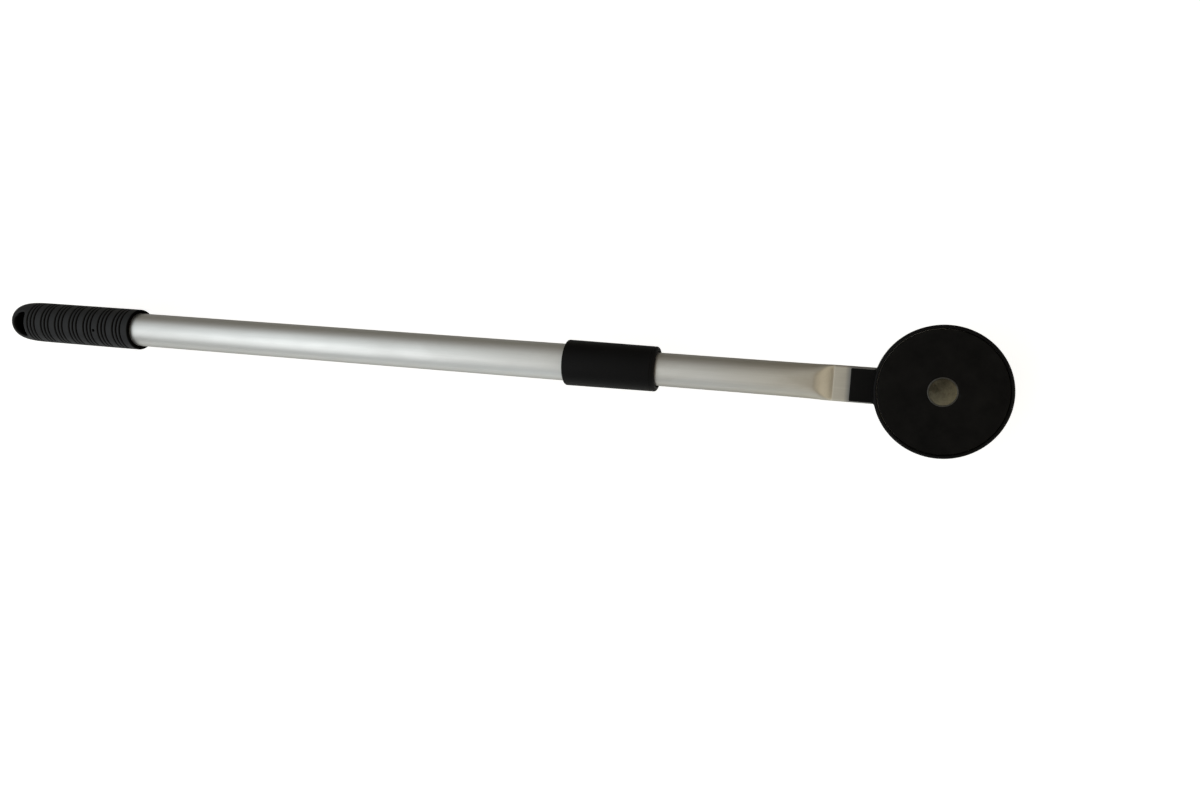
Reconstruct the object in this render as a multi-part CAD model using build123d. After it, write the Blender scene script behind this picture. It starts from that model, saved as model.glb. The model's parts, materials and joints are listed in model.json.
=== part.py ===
from build123d import *
import math
import os

# Hand-held magnetic sweeper on a telescopic pole: a round ring-magnet head on a pressed-flat
# aluminium pole, which slides in an outer tube and is held by a twist-lock collar.
#
# Everything is in millimetres. The origin is the centre of the magnet's working face, +Z points
# out of that face, and +X runs along the pole from the handgrip towards the magnet head.

# Fits
RUN_GAP = 0.05  # radial clearance of surfaces that slide or turn
SEAT_GAP = 0.02  # radial clearance of surfaces that are glued, clipped or pressed in place
END_GAP = 0.1  # axial clearance beside a part that moves

# Magnet head
HEAD_RADIUS = 40.0
HEAD_DEPTH = 12.4  # working face to the underside of the housing floor
RIM_WALL = 2.0
FLOOR_THICKNESS = 2.5
RIM_ROUND = 1.2
BACK_ROUND = 2.0
MAGNET_RADIUS = 37.5
MAGNET_HOLE_RADIUS = 8.85
MAGNET_RECESS = 0.4  # the ring magnet lies this far below the rim and the core
BACK_PLATE_RADIUS = 37.8
BACK_PLATE_THICKNESS = 2.5
CORE_RADIUS = 8.0
CORE_CHAMFER = 0.35
STUD_RADIUS = 3.0  # M6
STUD_REACH = 9.6  # stud end below the housing floor
STUD_HOLE_RADIUS = 3.2
HUB_RADIUS = 11.0
HUB_BORE_RADIUS = 9.4
BACK_RIB_HEIGHT = 1.5
BACK_RIB_WIDTH = 1.6
BACK_RIB_END_RADIUS = 35.0
BACK_RIB_ANGLES = (-120, -60, 0, 60, 120)

# Stud fasteners, M6
WASHER_RADIUS = 9.0
WASHER_THICKNESS = 1.6
SPRING_WASHER_RADIUS = 5.5
SPRING_WASHER_THICKNESS = 1.6
SPRING_WASHER_SPLIT = 0.9
NUT_ACROSS_FLATS = 10.0
NUT_THICKNESS = 5.0
NUT_CHAMFER_HEIGHT = 0.55
NUT_CHAMFER_DEPTH = 0.3

# Arm of the housing, which lies on the flat of the pole
ARM_REAR_X = -53.5
ARM_WIDTH = 20.3
ARM_THICKNESS = 7.5
ARM_END_ROUND = 0.6
ARM_EDGE_ROUND = 0.6

# M4 screws, the tapped strip inside the pole and the insert in the arm. The floor screw goes down
# from inside the pan; the arm screw goes up from inside the pole, so the arm's top stays plain.
SCREW_RADIUS = 2.0
SCREW_HOLE_RADIUS = 2.25
SCREW_HEAD_RADIUS = 3.75
SCREW_HEAD_HEIGHT = 2.3
SCREW_SOCKET_FLATS = 2.5
SCREW_SOCKET_DEPTH = 1.4
FLOOR_SCREW_X = -33.5
FLOOR_SCREW_LENGTH = 8.0
ARM_SCREW_X = -46.8
ARM_SCREW_LENGTH = 9.6
ARM_SCREW_HEAD_RADIUS = 3.5
ARM_SCREW_HEAD_HEIGHT = 2.4
INSERT_RADIUS = 2.9
INSERT_LENGTH = 5.0
ACCESS_HOLE_RADIUS = 4.4  # in the pole's round side, for the arm screw and its driver
NUT_STRIP_REAR_X = -52.0
NUT_STRIP_FRONT_X = -28.5
NUT_STRIP_WIDTH = 14.0
NUT_STRIP_THICKNESS = 3.0
NUT_STRIP_CORNER = 1.5

# Inner tube: round, then pressed to a flat-topped section under the arm
INNER_RADIUS = 11.0
INNER_WALL = 1.0
INNER_TAIL_X = -486.0
PRESS_START_X = -75.0
CREASE_X = -63.8
INNER_END_X = -28.0
FLAT_WIDTH = 22.6
FLAT_RISE = 4.6  # the flat above the axis, which nearly keeps the developed width
FLAT_CORNER = 1.8
FLAT_SIDE_ANGLE = 16.0  # where the round tube's side becomes the straight side, from horizontal
FLAT_CORNER_ANGLE = 33.0  # where its top becomes the flat

# Outer tube
OUTER_RADIUS = 12.5
OUTER_WALL = 1.0
OUTER_REAR_X = -666.0
OUTER_FRONT_X = -205.0

# Handgrip
GRIP_TIP_X = -696.9
GRIP_MOUTH_X = -581.8
GRIP_MOUTH_CHAMFER = 1.0
GRIP_RADIUS = 15.35
GRIP_DOME = ((0.0, 5.0), (2.6, 10.9), (7.3, 13.4), (14.0, 14.8))  # distance from tip, radius
GRIP_DOME_LENGTH = 24.0
GRIP_TURN = 10.0  # the grip is fixed a little turned about the pole from the magnet's face
BAND_PITCH = 13.3
BAND_COUNT = 7
GROOVE_WIDTH = 0.9
GROOVE_DEPTH = 0.9
RIB_WIDTH = 2.4
LAST_BAND_WIDTH = 6.45
EYE_FLAT_FROM_TIP = 17.7
EYE_LENGTH = 11.8
EYE_WIDTH = 18.6
EYE_CORNER = 1.6
VENT_RADIUS = 0.9
VENT_FROM_MOUTH = 30.7

# Twist lock
COLLAR_REAR_X = -238.5
COLLAR_FRONT_X = -176.0
COLLAR_REAR_RADIUS = 15.4
COLLAR_REAR_ROUND = 1.2
COLLAR_FRONT_RADIUS = 14.9
COLLAR_BORE_RADIUS = 13.75
COLLAR_MOUTH_RADIUS = 11.8
COLLAR_LINE_DEPTH = 0.3  # fine turned line behind the collar's mouth
COLLAR_LINE_X = -179.0
COLLAR_MOUTH_ROUND = 2.0
SHOULDER_X = -185.4
SHOULDER_RADIUS = 12.3
WIPER_REAR_X = -182.5
WIPER_FRONT_X = -179.5
WIPER_RADIUS = 13.0
BUSH_REAR_X = -236.0
BUSH_THREAD_END_X = -198.0
BUSH_RADIUS = 13.7
FINGER_ROOT_RADIUS = 12.9
FINGER_TIP_RADIUS = 11.9
FINGER_TIP_X = -187.0
FINGER_SLOT_WIDTH = 1.0
FINGER_SLOT_REAR_X = -202.0
FINGER_SLOT_PAIRS = 3
CLAMP_REAR_X = -195.0
CLAMP_FRONT_X = -186.6
CLAMP_RADIUS = 13.6
CLAMP_CONE_GAP = 0.06
KEY_WIDTH = 0.8
KEY_DEPTH = 0.7
KEY_ROOT = 0.3  # depth of each key's root in the ring
THRUST_WASHER_BORE_RADIUS = 11.4

# Sliding guide at the inner tube's tail
JOURNAL_RADIUS = 8.5
JOURNAL_LENGTH = 40.0
PLUG_SPIGOT_LENGTH = 20.0
PLUG_FLANGE_LENGTH = 3.0
PLUG_AIR_RADIUS = 4.5
PLUG_SPIGOT_CHAMFER = 1.0
PLUG_FLANGE_CHAMFER = 0.5
GUIDE_SPLIT = 1.2

# Heights that follow from the above
FLOOR_TOP_Z = FLOOR_THICKNESS - HEAD_DEPTH
PLATE_TOP_Z = FLOOR_TOP_Z + BACK_PLATE_THICKNESS
AXIS_Z = -(HEAD_DEPTH + FLAT_RISE)  # the pole's axis
ARM_TOP_Z = ARM_THICKNESS - HEAD_DEPTH
STRIP_BOTTOM_Z = -HEAD_DEPTH - INNER_WALL - NUT_STRIP_THICKNESS


def turned(points):
    """Solid turned about the pole's axis from (x, radius) points."""
    outline = Plane.XZ * make_face(Polyline(*points, close=True))
    return Pos(0, 0, AXIS_Z) * revolve(outline, Axis.X)


def pole_ring(rear_x, front_x, outer, inner):
    """Plain ring about the pole's axis."""
    return turned([(rear_x, inner), (front_x, inner), (front_x, outer), (rear_x, outer)])


def disc(radius, bottom_z, top_z):
    """Plain disc about the magnet's axis."""
    return Pos(0, 0, (bottom_z + top_z) / 2) * Cylinder(radius, top_z - bottom_z)


def block(low, high):
    """Box between two opposite corners."""
    size = [b - a for a, b in zip(low, high)]
    middle = [(a + b) / 2 for a, b in zip(low, high)]
    return Pos(*middle) * Box(*size)


def hexagon_bar(across_flats, bottom_z, top_z):
    """Upright hexagonal bar at the origin."""
    outline = Pos(0, 0, bottom_z) * RegularPolygon(across_flats / 2, 6, major_radius=False)
    return extrude(outline, top_z - bottom_z)


def countersunk_hole(x, top_z, depth):
    """Cutter for a countersunk screw that goes down from top_z."""
    rim = SCREW_HEAD_RADIUS + SEAT_GAP
    cone = Cone(SCREW_HOLE_RADIUS, rim, SCREW_HEAD_HEIGHT)
    cone = Pos(0, 0, -SCREW_HEAD_HEIGHT / 2) * cone
    shaft = Pos(0, 0, -depth / 2) * Cylinder(SCREW_HOLE_RADIUS, depth)
    return Pos(x, 0, top_z) * (cone + shaft)


def countersunk_screw(x, top_z, length):
    """M4 countersunk socket screw, pointing down, with a plain shank."""
    cone = Cone(SCREW_RADIUS, SCREW_HEAD_RADIUS - SEAT_GAP, SCREW_HEAD_HEIGHT)
    cone = Pos(0, 0, -SCREW_HEAD_HEIGHT / 2) * cone
    shank = Pos(0, 0, -length / 2) * Cylinder(SCREW_RADIUS, length)
    socket = hexagon_bar(SCREW_SOCKET_FLATS, -SCREW_SOCKET_DEPTH, 1.0)
    return Pos(x, 0, top_z) * (cone + shank - socket)


# Magnet head


def head_housing():
    """Moulded pan for the magnet, with the arm and the ribbed back in one piece."""
    pan = disc(HEAD_RADIUS, -HEAD_DEPTH, 0)
    pan = fillet(pan.edges().group_by(Axis.Z)[-1], RIM_ROUND)
    pan = fillet(pan.edges().group_by(Axis.Z)[0], BACK_ROUND)
    pan = pan + head_arm()
    pan = pan - disc(HEAD_RADIUS - RIM_WALL, FLOOR_TOP_Z, 1.0)
    pan = pan + back_ribs()
    pan = pan - disc(STUD_HOLE_RADIUS, -HEAD_DEPTH - 1.0, 0)
    pan = pan - insert_hole()
    return pan - countersunk_hole(FLOOR_SCREW_X, FLOOR_TOP_Z, FLOOR_THICKNESS + 1.0)


def head_arm():
    """Rounded bar from the rim of the pan back over the flat of the pole."""
    front_x = -math.sqrt(HEAD_RADIUS**2 - (ARM_WIDTH / 2) ** 2) + RIM_WALL
    arm = block(
        (ARM_REAR_X, -ARM_WIDTH / 2, -HEAD_DEPTH), (front_x, ARM_WIDTH / 2, ARM_TOP_Z)
    )
    rear_corners = arm.edges().filter_by(Axis.Z).group_by(Axis.X)[0]
    arm = fillet(rear_corners, ARM_END_ROUND)
    top_edges = arm.faces().sort_by(Axis.Z)[-1].edges()
    front_edge = top_edges.sort_by(Axis.X)[-1]
    return fillet([edge for edge in top_edges if edge != front_edge], ARM_EDGE_ROUND)


def insert_hole():
    """Cutter for the threaded insert and the arm screw's tip, from the arm's underside."""
    seat = disc(INSERT_RADIUS + SEAT_GAP, -HEAD_DEPTH - 1.0, INSERT_LENGTH - HEAD_DEPTH)
    tip_z = STRIP_BOTTOM_Z + ARM_SCREW_LENGTH + END_GAP
    return Pos(ARM_SCREW_X, 0, 0) * (seat + disc(SCREW_HOLE_RADIUS, -HEAD_DEPTH, tip_z))


def back_ribs():
    """Hub ring round the stud's washer and radial ribs on the underside."""
    low_z = -HEAD_DEPTH - BACK_RIB_HEIGHT
    middle_z = -HEAD_DEPTH - BACK_RIB_HEIGHT / 2
    hub = disc(HUB_RADIUS, low_z, -HEAD_DEPTH) - disc(HUB_BORE_RADIUS, low_z, -HEAD_DEPTH)
    length = BACK_RIB_END_RADIUS - HUB_RADIUS + 1.0
    ribs = hub
    for angle in BACK_RIB_ANGLES:
        bar = Box(length, BACK_RIB_WIDTH, BACK_RIB_HEIGHT)
        middle_x = BACK_RIB_END_RADIUS - length / 2
        ribs = ribs + Rot(0, 0, angle) * Pos(middle_x, 0, middle_z) * bar
    return ribs


def back_plate():
    """Steel disc that closes the magnetic circuit behind the ring magnet."""
    plate = disc(BACK_PLATE_RADIUS, FLOOR_TOP_Z, PLATE_TOP_Z)
    return plate - disc(STUD_HOLE_RADIUS, FLOOR_TOP_Z, PLATE_TOP_Z)


def ring_magnet():
    """Ferrite ring, recessed a little below the rim and the core."""
    ring = disc(MAGNET_RADIUS, PLATE_TOP_Z, -MAGNET_RECESS)
    return ring - disc(MAGNET_HOLE_RADIUS, PLATE_TOP_Z, 0)


def core_sleeve():
    """Thin non-magnetic sleeve that centres the core in the ring magnet."""
    outer = disc(MAGNET_HOLE_RADIUS - SEAT_GAP, PLATE_TOP_Z, -MAGNET_RECESS / 2)
    return outer - disc(CORE_RADIUS + SEAT_GAP, PLATE_TOP_Z, 0)


def magnet_core():
    """Steel pole piece whose face is the middle of the working face, with its M6 stud."""
    core = disc(CORE_RADIUS, PLATE_TOP_Z, 0)
    core = chamfer(core.edges().group_by(Axis.Z)[-1], CORE_CHAMFER)
    return core + disc(STUD_RADIUS, -HEAD_DEPTH - STUD_REACH, PLATE_TOP_Z)


def core_washer():
    """Large washer under the housing floor."""
    top_z = -HEAD_DEPTH
    washer = disc(WASHER_RADIUS, top_z - WASHER_THICKNESS, top_z)
    return washer - disc(STUD_HOLE_RADIUS, top_z - WASHER_THICKNESS, top_z)


def core_spring_washer():
    """Split spring washer, drawn pressed flat."""
    top_z = -HEAD_DEPTH - WASHER_THICKNESS
    bottom_z = top_z - SPRING_WASHER_THICKNESS
    washer = disc(SPRING_WASHER_RADIUS, bottom_z, top_z) - disc(STUD_HOLE_RADIUS, bottom_z, top_z)
    half_split = SPRING_WASHER_SPLIT / 2
    split = block((0, -half_split, bottom_z), (SPRING_WASHER_RADIUS + 1, half_split, top_z))
    return washer - split


def core_nut():
    """M6 nut with a plain bore."""
    top_z = -HEAD_DEPTH - WASHER_THICKNESS - SPRING_WASHER_THICKNESS
    bottom_z = top_z - NUT_THICKNESS
    corner_radius = NUT_ACROSS_FLATS / math.sqrt(3)
    bar = hexagon_bar(NUT_ACROSS_FLATS, bottom_z, top_z)
    rounded = disc(corner_radius, bottom_z, top_z)
    rounded = chamfer(rounded.edges(), NUT_CHAMFER_HEIGHT, NUT_CHAMFER_DEPTH)
    return (bar & rounded) - disc(STUD_RADIUS + RUN_GAP, bottom_z, top_z)


def arm_screw():
    """Cap screw up through the tapped strip and the flat into the arm's insert."""
    head_z = STRIP_BOTTOM_Z - ARM_SCREW_HEAD_HEIGHT
    screw = disc(ARM_SCREW_HEAD_RADIUS, head_z, STRIP_BOTTOM_Z)
    screw = screw + disc(SCREW_RADIUS, STRIP_BOTTOM_Z, STRIP_BOTTOM_Z + ARM_SCREW_LENGTH)
    socket = hexagon_bar(SCREW_SOCKET_FLATS, head_z - 1.0, head_z + SCREW_SOCKET_DEPTH)
    return Pos(ARM_SCREW_X, 0, 0) * (screw - socket)


def arm_insert():
    """Threaded insert in the arm, with a plain bore."""
    top_z = INSERT_LENGTH - HEAD_DEPTH
    bush = disc(INSERT_RADIUS, -HEAD_DEPTH, top_z)
    return Pos(ARM_SCREW_X, 0, 0) * (bush - disc(SCREW_RADIUS + RUN_GAP, -HEAD_DEPTH, top_z))


def floor_screw():
    """Screw through the housing floor, under the back plate, into the tapped strip."""
    return countersunk_screw(FLOOR_SCREW_X, FLOOR_TOP_Z, FLOOR_SCREW_LENGTH)


def nut_strip():
    """Tapped steel strip inside the pole, with plain holes for the two screws."""
    top_z = STRIP_BOTTOM_Z + NUT_STRIP_THICKNESS
    half = NUT_STRIP_WIDTH / 2
    strip = block((NUT_STRIP_REAR_X, -half, STRIP_BOTTOM_Z), (NUT_STRIP_FRONT_X, half, top_z))
    strip = fillet(strip.edges().filter_by(Axis.Z), NUT_STRIP_CORNER)
    for x in (ARM_SCREW_X, FLOOR_SCREW_X):
        strip = strip - Pos(x, 0, 0) * disc(SCREW_RADIUS + RUN_GAP, STRIP_BOTTOM_Z, top_z)
    return strip


# Inner pole


def on_circle(radius, degrees):
    """Point on a circle, with the angle from +Y towards +Z."""
    angle = math.radians(degrees)
    return (radius * math.cos(angle), radius * math.sin(angle))


def round_outline(inset):
    """Round tube outline in the same six stretches as flat_outline."""
    radius = INNER_RADIUS - inset
    stops = (
        0,
        FLAT_SIDE_ANGLE,
        FLAT_CORNER_ANGLE,
        180 - FLAT_CORNER_ANGLE,
        180 - FLAT_SIDE_ANGLE,
        180,
        360,
    )
    edges = []
    for start, end in zip(stops, stops[1:]):
        middle = (start + end) / 2
        ends = [on_circle(radius, angle) for angle in (start, middle, end)]
        edges.append(ThreePointArc(*ends))
    return edges


def flat_outline(inset):
    """Flat-topped outline: a flat, two rounded corners, two short sides and a half round."""
    side = FLAT_WIDTH / 2 - inset
    top = FLAT_RISE - inset
    corner = FLAT_CORNER - inset
    start = top - corner
    diagonal = corner * (1 - math.sqrt(0.5))
    middle = (side - diagonal, top - diagonal)
    mirrored = (-middle[0], middle[1])
    return [
        Line((side, 0), (side, start)),
        ThreePointArc((side, start), middle, (side - corner, top)),
        Line((side - corner, top), (corner - side, top)),
        ThreePointArc((corner - side, top), mirrored, (-side, start)),
        Line((-side, start), (-side, 0)),
        ThreePointArc((-side, 0), (0, -side), (side, 0)),
    ]


def section(outline, x):
    """Cross-section of the pole at x."""
    return Pos(x, 0, AXIS_Z) * (Plane.YZ * make_face(outline))


def pole_solid(inset):
    """Inner tube's outside, or its hollow when inset by the wall."""
    round_part = turned(
        [
            (INNER_TAIL_X, 0),
            (PRESS_START_X, 0),
            (PRESS_START_X, INNER_RADIUS - inset),
            (INNER_TAIL_X, INNER_RADIUS - inset),
        ]
    )
    ends = [section(round_outline(inset), PRESS_START_X), section(flat_outline(inset), CREASE_X)]
    pressed = loft(ends, ruled=True)
    flat_part = extrude(section(flat_outline(inset), CREASE_X), INNER_END_X - CREASE_X, (1, 0, 0))
    return round_part + pressed + flat_part


def inner_tube():
    """Sliding tube with its pressed end, the holes in the flat and the access hole below."""
    tube = pole_solid(0) - pole_solid(INNER_WALL)
    for x in (ARM_SCREW_X, FLOOR_SCREW_X):
        hole = disc(SCREW_HOLE_RADIUS, -HEAD_DEPTH - 2 * INNER_WALL, -HEAD_DEPTH + 1)
        tube = tube - Pos(x, 0, 0) * hole
    access = disc(ACCESS_HOLE_RADIUS, AXIS_Z - FLAT_WIDTH / 2 - 1.0, AXIS_Z)
    return tube - Pos(ARM_SCREW_X, 0, 0) * access


def tail_plug():
    """Plug pressed in the inner tube's tail, with the journal for the guide sleeve."""
    journal_x = INNER_TAIL_X - JOURNAL_LENGTH
    end_x = journal_x - PLUG_FLANGE_LENGTH
    spigot_x = INNER_TAIL_X + PLUG_SPIGOT_LENGTH
    spigot = INNER_RADIUS - INNER_WALL - SEAT_GAP
    return turned(
        [
            (end_x, PLUG_AIR_RADIUS),
            (spigot_x, PLUG_AIR_RADIUS),
            (spigot_x, spigot - PLUG_SPIGOT_CHAMFER),
            (spigot_x - PLUG_SPIGOT_CHAMFER, spigot),
            (INNER_TAIL_X, spigot),
            (INNER_TAIL_X, JOURNAL_RADIUS),
            (journal_x, JOURNAL_RADIUS),
            (journal_x, INNER_RADIUS),
            (end_x + PLUG_FLANGE_CHAMFER, INNER_RADIUS),
            (end_x, INNER_RADIUS - PLUG_FLANGE_CHAMFER),
        ]
    )


def guide_sleeve():
    """Split sleeve that slides in the outer tube while the pole turns inside it."""
    rear_x = INNER_TAIL_X - JOURNAL_LENGTH + END_GAP
    front_x = INNER_TAIL_X - END_GAP
    outer = OUTER_RADIUS - OUTER_WALL - RUN_GAP
    sleeve = pole_ring(rear_x, front_x, outer, JOURNAL_RADIUS + RUN_GAP)
    half = GUIDE_SPLIT / 2
    split = block((rear_x, -half, AXIS_Z - outer - 1), (front_x, half, AXIS_Z))
    return sleeve - split


# Handle


def outer_tube():
    """Fixed tube of the handle."""
    return pole_ring(OUTER_REAR_X, OUTER_FRONT_X, OUTER_RADIUS, OUTER_RADIUS - OUTER_WALL)


def groove_starts():
    """Rear edges of the grip's grooves: three round the two narrow ribs behind each band."""
    starts = []
    for band in range(BAND_COUNT):
        front = GRIP_MOUTH_X - LAST_BAND_WIDTH - band * BAND_PITCH
        for rib in range(3):
            starts.append(front - GROOVE_WIDTH - rib * (GROOVE_WIDTH + RIB_WIDTH))
    return starts


def handgrip():
    """Rubber grip with a domed end, ribs, a D-shaped hanging eye and a vent hole."""
    dome = [(GRIP_TIP_X + x, radius) for x, radius in GRIP_DOME]
    shoulder = (GRIP_TIP_X + GRIP_DOME_LENGTH, GRIP_RADIUS)
    curve = Spline(*dome, shoulder, tangents=[(0.15, 1), (1, 0)])
    outline = [
        curve,
        Polyline(
            shoulder,
            (GRIP_MOUTH_X - GRIP_MOUTH_CHAMFER, GRIP_RADIUS),
            (GRIP_MOUTH_X, GRIP_RADIUS - GRIP_MOUTH_CHAMFER),
            (GRIP_MOUTH_X, OUTER_RADIUS + SEAT_GAP),
            (OUTER_REAR_X, OUTER_RADIUS + SEAT_GAP),
            (OUTER_REAR_X, 0),
            (GRIP_TIP_X, 0),
            dome[0],
        ),
    ]
    grip = Pos(0, 0, AXIS_Z) * revolve(Plane.XZ * make_face(outline), Axis.X)
    for start in groove_starts():
        floor = GRIP_RADIUS - GROOVE_DEPTH
        grip = grip - pole_ring(start, start + GROOVE_WIDTH, GRIP_RADIUS + 1, floor)
    return grip - hanging_eye() - vent_hole()


def hanging_eye():
    """Cutter for the D-shaped eye: flat towards the ribs, round towards the tip."""
    flat_x = GRIP_TIP_X + EYE_FLAT_FROM_TIP
    half = EYE_WIDTH / 2
    shape = [
        ThreePointArc((flat_x, half), (flat_x - EYE_LENGTH, 0), (flat_x, -half)),
        Line((flat_x, -half), (flat_x, half)),
    ]
    cutter = extrude(make_face(shape), 2 * GRIP_RADIUS, both=True)
    cutter = fillet(cutter.edges().filter_by(Axis.Z), EYE_CORNER)
    return Pos(0, 0, AXIS_Z) * Rot(GRIP_TURN, 0, 0) * cutter


def vent_hole():
    """Cutter for the small air hole through the grip's wall, on the side of the magnet face."""
    x = GRIP_MOUTH_X - VENT_FROM_MOUTH
    low = OUTER_RADIUS + (GRIP_RADIUS - OUTER_RADIUS) / 4
    cutter = Pos(x, 0, 0) * disc(VENT_RADIUS, low, GRIP_RADIUS + 1.0)
    return Pos(0, 0, AXIS_Z) * Rot(GRIP_TURN, 0, 0) * cutter


# Twist lock


def collet_bush():
    """Bush on the outer tube's end: plain thread, then slotted tapered fingers."""
    seat = OUTER_RADIUS + SEAT_GAP
    guide = INNER_RADIUS + RUN_GAP
    bush = turned(
        [
            (BUSH_REAR_X, seat),
            (OUTER_FRONT_X, seat),
            (OUTER_FRONT_X, guide),
            (FINGER_TIP_X, guide),
            (FINGER_TIP_X, FINGER_TIP_RADIUS),
            (BUSH_THREAD_END_X, FINGER_ROOT_RADIUS),
            (BUSH_THREAD_END_X, BUSH_RADIUS),
            (BUSH_REAR_X, BUSH_RADIUS),
        ]
    )
    half = FINGER_SLOT_WIDTH / 2
    reach = BUSH_RADIUS + 1
    slot = block((FINGER_SLOT_REAR_X, -reach, -half), (FINGER_TIP_X + 1, reach, half))
    for index in range(FINGER_SLOT_PAIRS):
        turn = Rot(index * 180 / FINGER_SLOT_PAIRS, 0, 0)
        bush = bush - Pos(0, 0, AXIS_Z) * turn * slot
    return bush


def finger_radius(x):
    """Outside radius of the tapered fingers at x."""
    share = (x - BUSH_THREAD_END_X) / (FINGER_TIP_X - BUSH_THREAD_END_X)
    return FINGER_ROOT_RADIUS + share * (FINGER_TIP_RADIUS - FINGER_ROOT_RADIUS)


def clamp_ring():
    """Ring with a tapered bore that squeezes the fingers, keyed in two of their slots."""
    rear_bore = finger_radius(CLAMP_REAR_X) + CLAMP_CONE_GAP
    front_bore = finger_radius(CLAMP_FRONT_X) + CLAMP_CONE_GAP
    ring = turned(
        [
            (CLAMP_REAR_X, rear_bore),
            (CLAMP_FRONT_X, front_bore),
            (CLAMP_FRONT_X, CLAMP_RADIUS),
            (CLAMP_REAR_X, CLAMP_RADIUS),
        ]
    )
    half = KEY_WIDTH / 2
    for side in (1, -1):
        outer = side * (rear_bore + KEY_ROOT)
        inner = side * (front_bore - KEY_DEPTH)
        low_y = min(inner, outer)
        high_y = max(inner, outer)
        low = (CLAMP_REAR_X, low_y, AXIS_Z - half)
        ring = ring + block(low, (CLAMP_FRONT_X, high_y, AXIS_Z + half))
    return ring


def thrust_washer():
    """Slippery washer between the clamp ring and the collar's shoulder."""
    rear_x = CLAMP_FRONT_X + RUN_GAP
    return pole_ring(rear_x, SHOULDER_X - RUN_GAP, CLAMP_RADIUS, THRUST_WASHER_BORE_RADIUS)


def lock_collar():
    """Smooth tapered collar with a plain thread bore, a shoulder and a wiper groove."""
    lean = math.sqrt(0.5)
    rear_start = (COLLAR_REAR_X, COLLAR_REAR_RADIUS - COLLAR_REAR_ROUND)
    rear_end = (COLLAR_REAR_X + COLLAR_REAR_ROUND, COLLAR_REAR_RADIUS)
    rear_middle = (rear_end[0] - COLLAR_REAR_ROUND * lean, rear_start[1] + COLLAR_REAR_ROUND * lean)
    front_start = (COLLAR_FRONT_X - COLLAR_MOUTH_ROUND, COLLAR_FRONT_RADIUS)
    front_end = (COLLAR_FRONT_X, COLLAR_FRONT_RADIUS - COLLAR_MOUTH_ROUND)
    mouth = COLLAR_MOUTH_ROUND * lean
    front_middle = (front_start[0] + mouth, front_end[1] + mouth)
    line_radius = COLLAR_FRONT_RADIUS - COLLAR_LINE_DEPTH
    groove = WIPER_RADIUS + SEAT_GAP
    outline = [
        ThreePointArc(rear_start, rear_middle, rear_end),
        Polyline(
            rear_end,
            (COLLAR_LINE_X - COLLAR_LINE_DEPTH, COLLAR_FRONT_RADIUS),
            (COLLAR_LINE_X, line_radius),
            (COLLAR_LINE_X + COLLAR_LINE_DEPTH, COLLAR_FRONT_RADIUS),
            front_start,
        ),
        ThreePointArc(front_start, front_middle, front_end),
        Polyline(
            front_end,
            (COLLAR_FRONT_X, COLLAR_MOUTH_RADIUS),
            (WIPER_FRONT_X, COLLAR_MOUTH_RADIUS),
            (WIPER_FRONT_X, groove),
            (WIPER_REAR_X, groove),
            (WIPER_REAR_X, SHOULDER_RADIUS),
            (SHOULDER_X, SHOULDER_RADIUS),
            (SHOULDER_X, COLLAR_BORE_RADIUS),
            (COLLAR_REAR_X, COLLAR_BORE_RADIUS),
            rear_start,
        ),
    ]
    return Pos(0, 0, AXIS_Z) * revolve(Plane.XZ * make_face(outline), Axis.X)


def wiper_ring():
    """Soft ring in the collar's mouth that wipes the inner tube."""
    rear_x = WIPER_REAR_X + END_GAP
    front_x = WIPER_FRONT_X - END_GAP
    return pole_ring(rear_x, front_x, WIPER_RADIUS, INNER_RADIUS + RUN_GAP)


SUB_PARTS = (
    handgrip,
    outer_tube,
    collet_bush,
    clamp_ring,
    thrust_washer,
    lock_collar,
    wiper_ring,
    guide_sleeve,
    inner_tube,
    tail_plug,
    head_housing,
    back_plate,
    ring_magnet,
    core_sleeve,
    magnet_core,
    core_washer,
    core_spring_washer,
    core_nut,
    arm_screw,
    arm_insert,
    floor_screw,
    nut_strip,
)

os.makedirs("parts", exist_ok=True)
for make_sub_part in SUB_PARTS:
    export_step(make_sub_part(), f"parts/{make_sub_part.__name__}.step")
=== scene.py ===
import json
import math

import bmesh
import bpy
from mathutils import Matrix, Vector, noise


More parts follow.
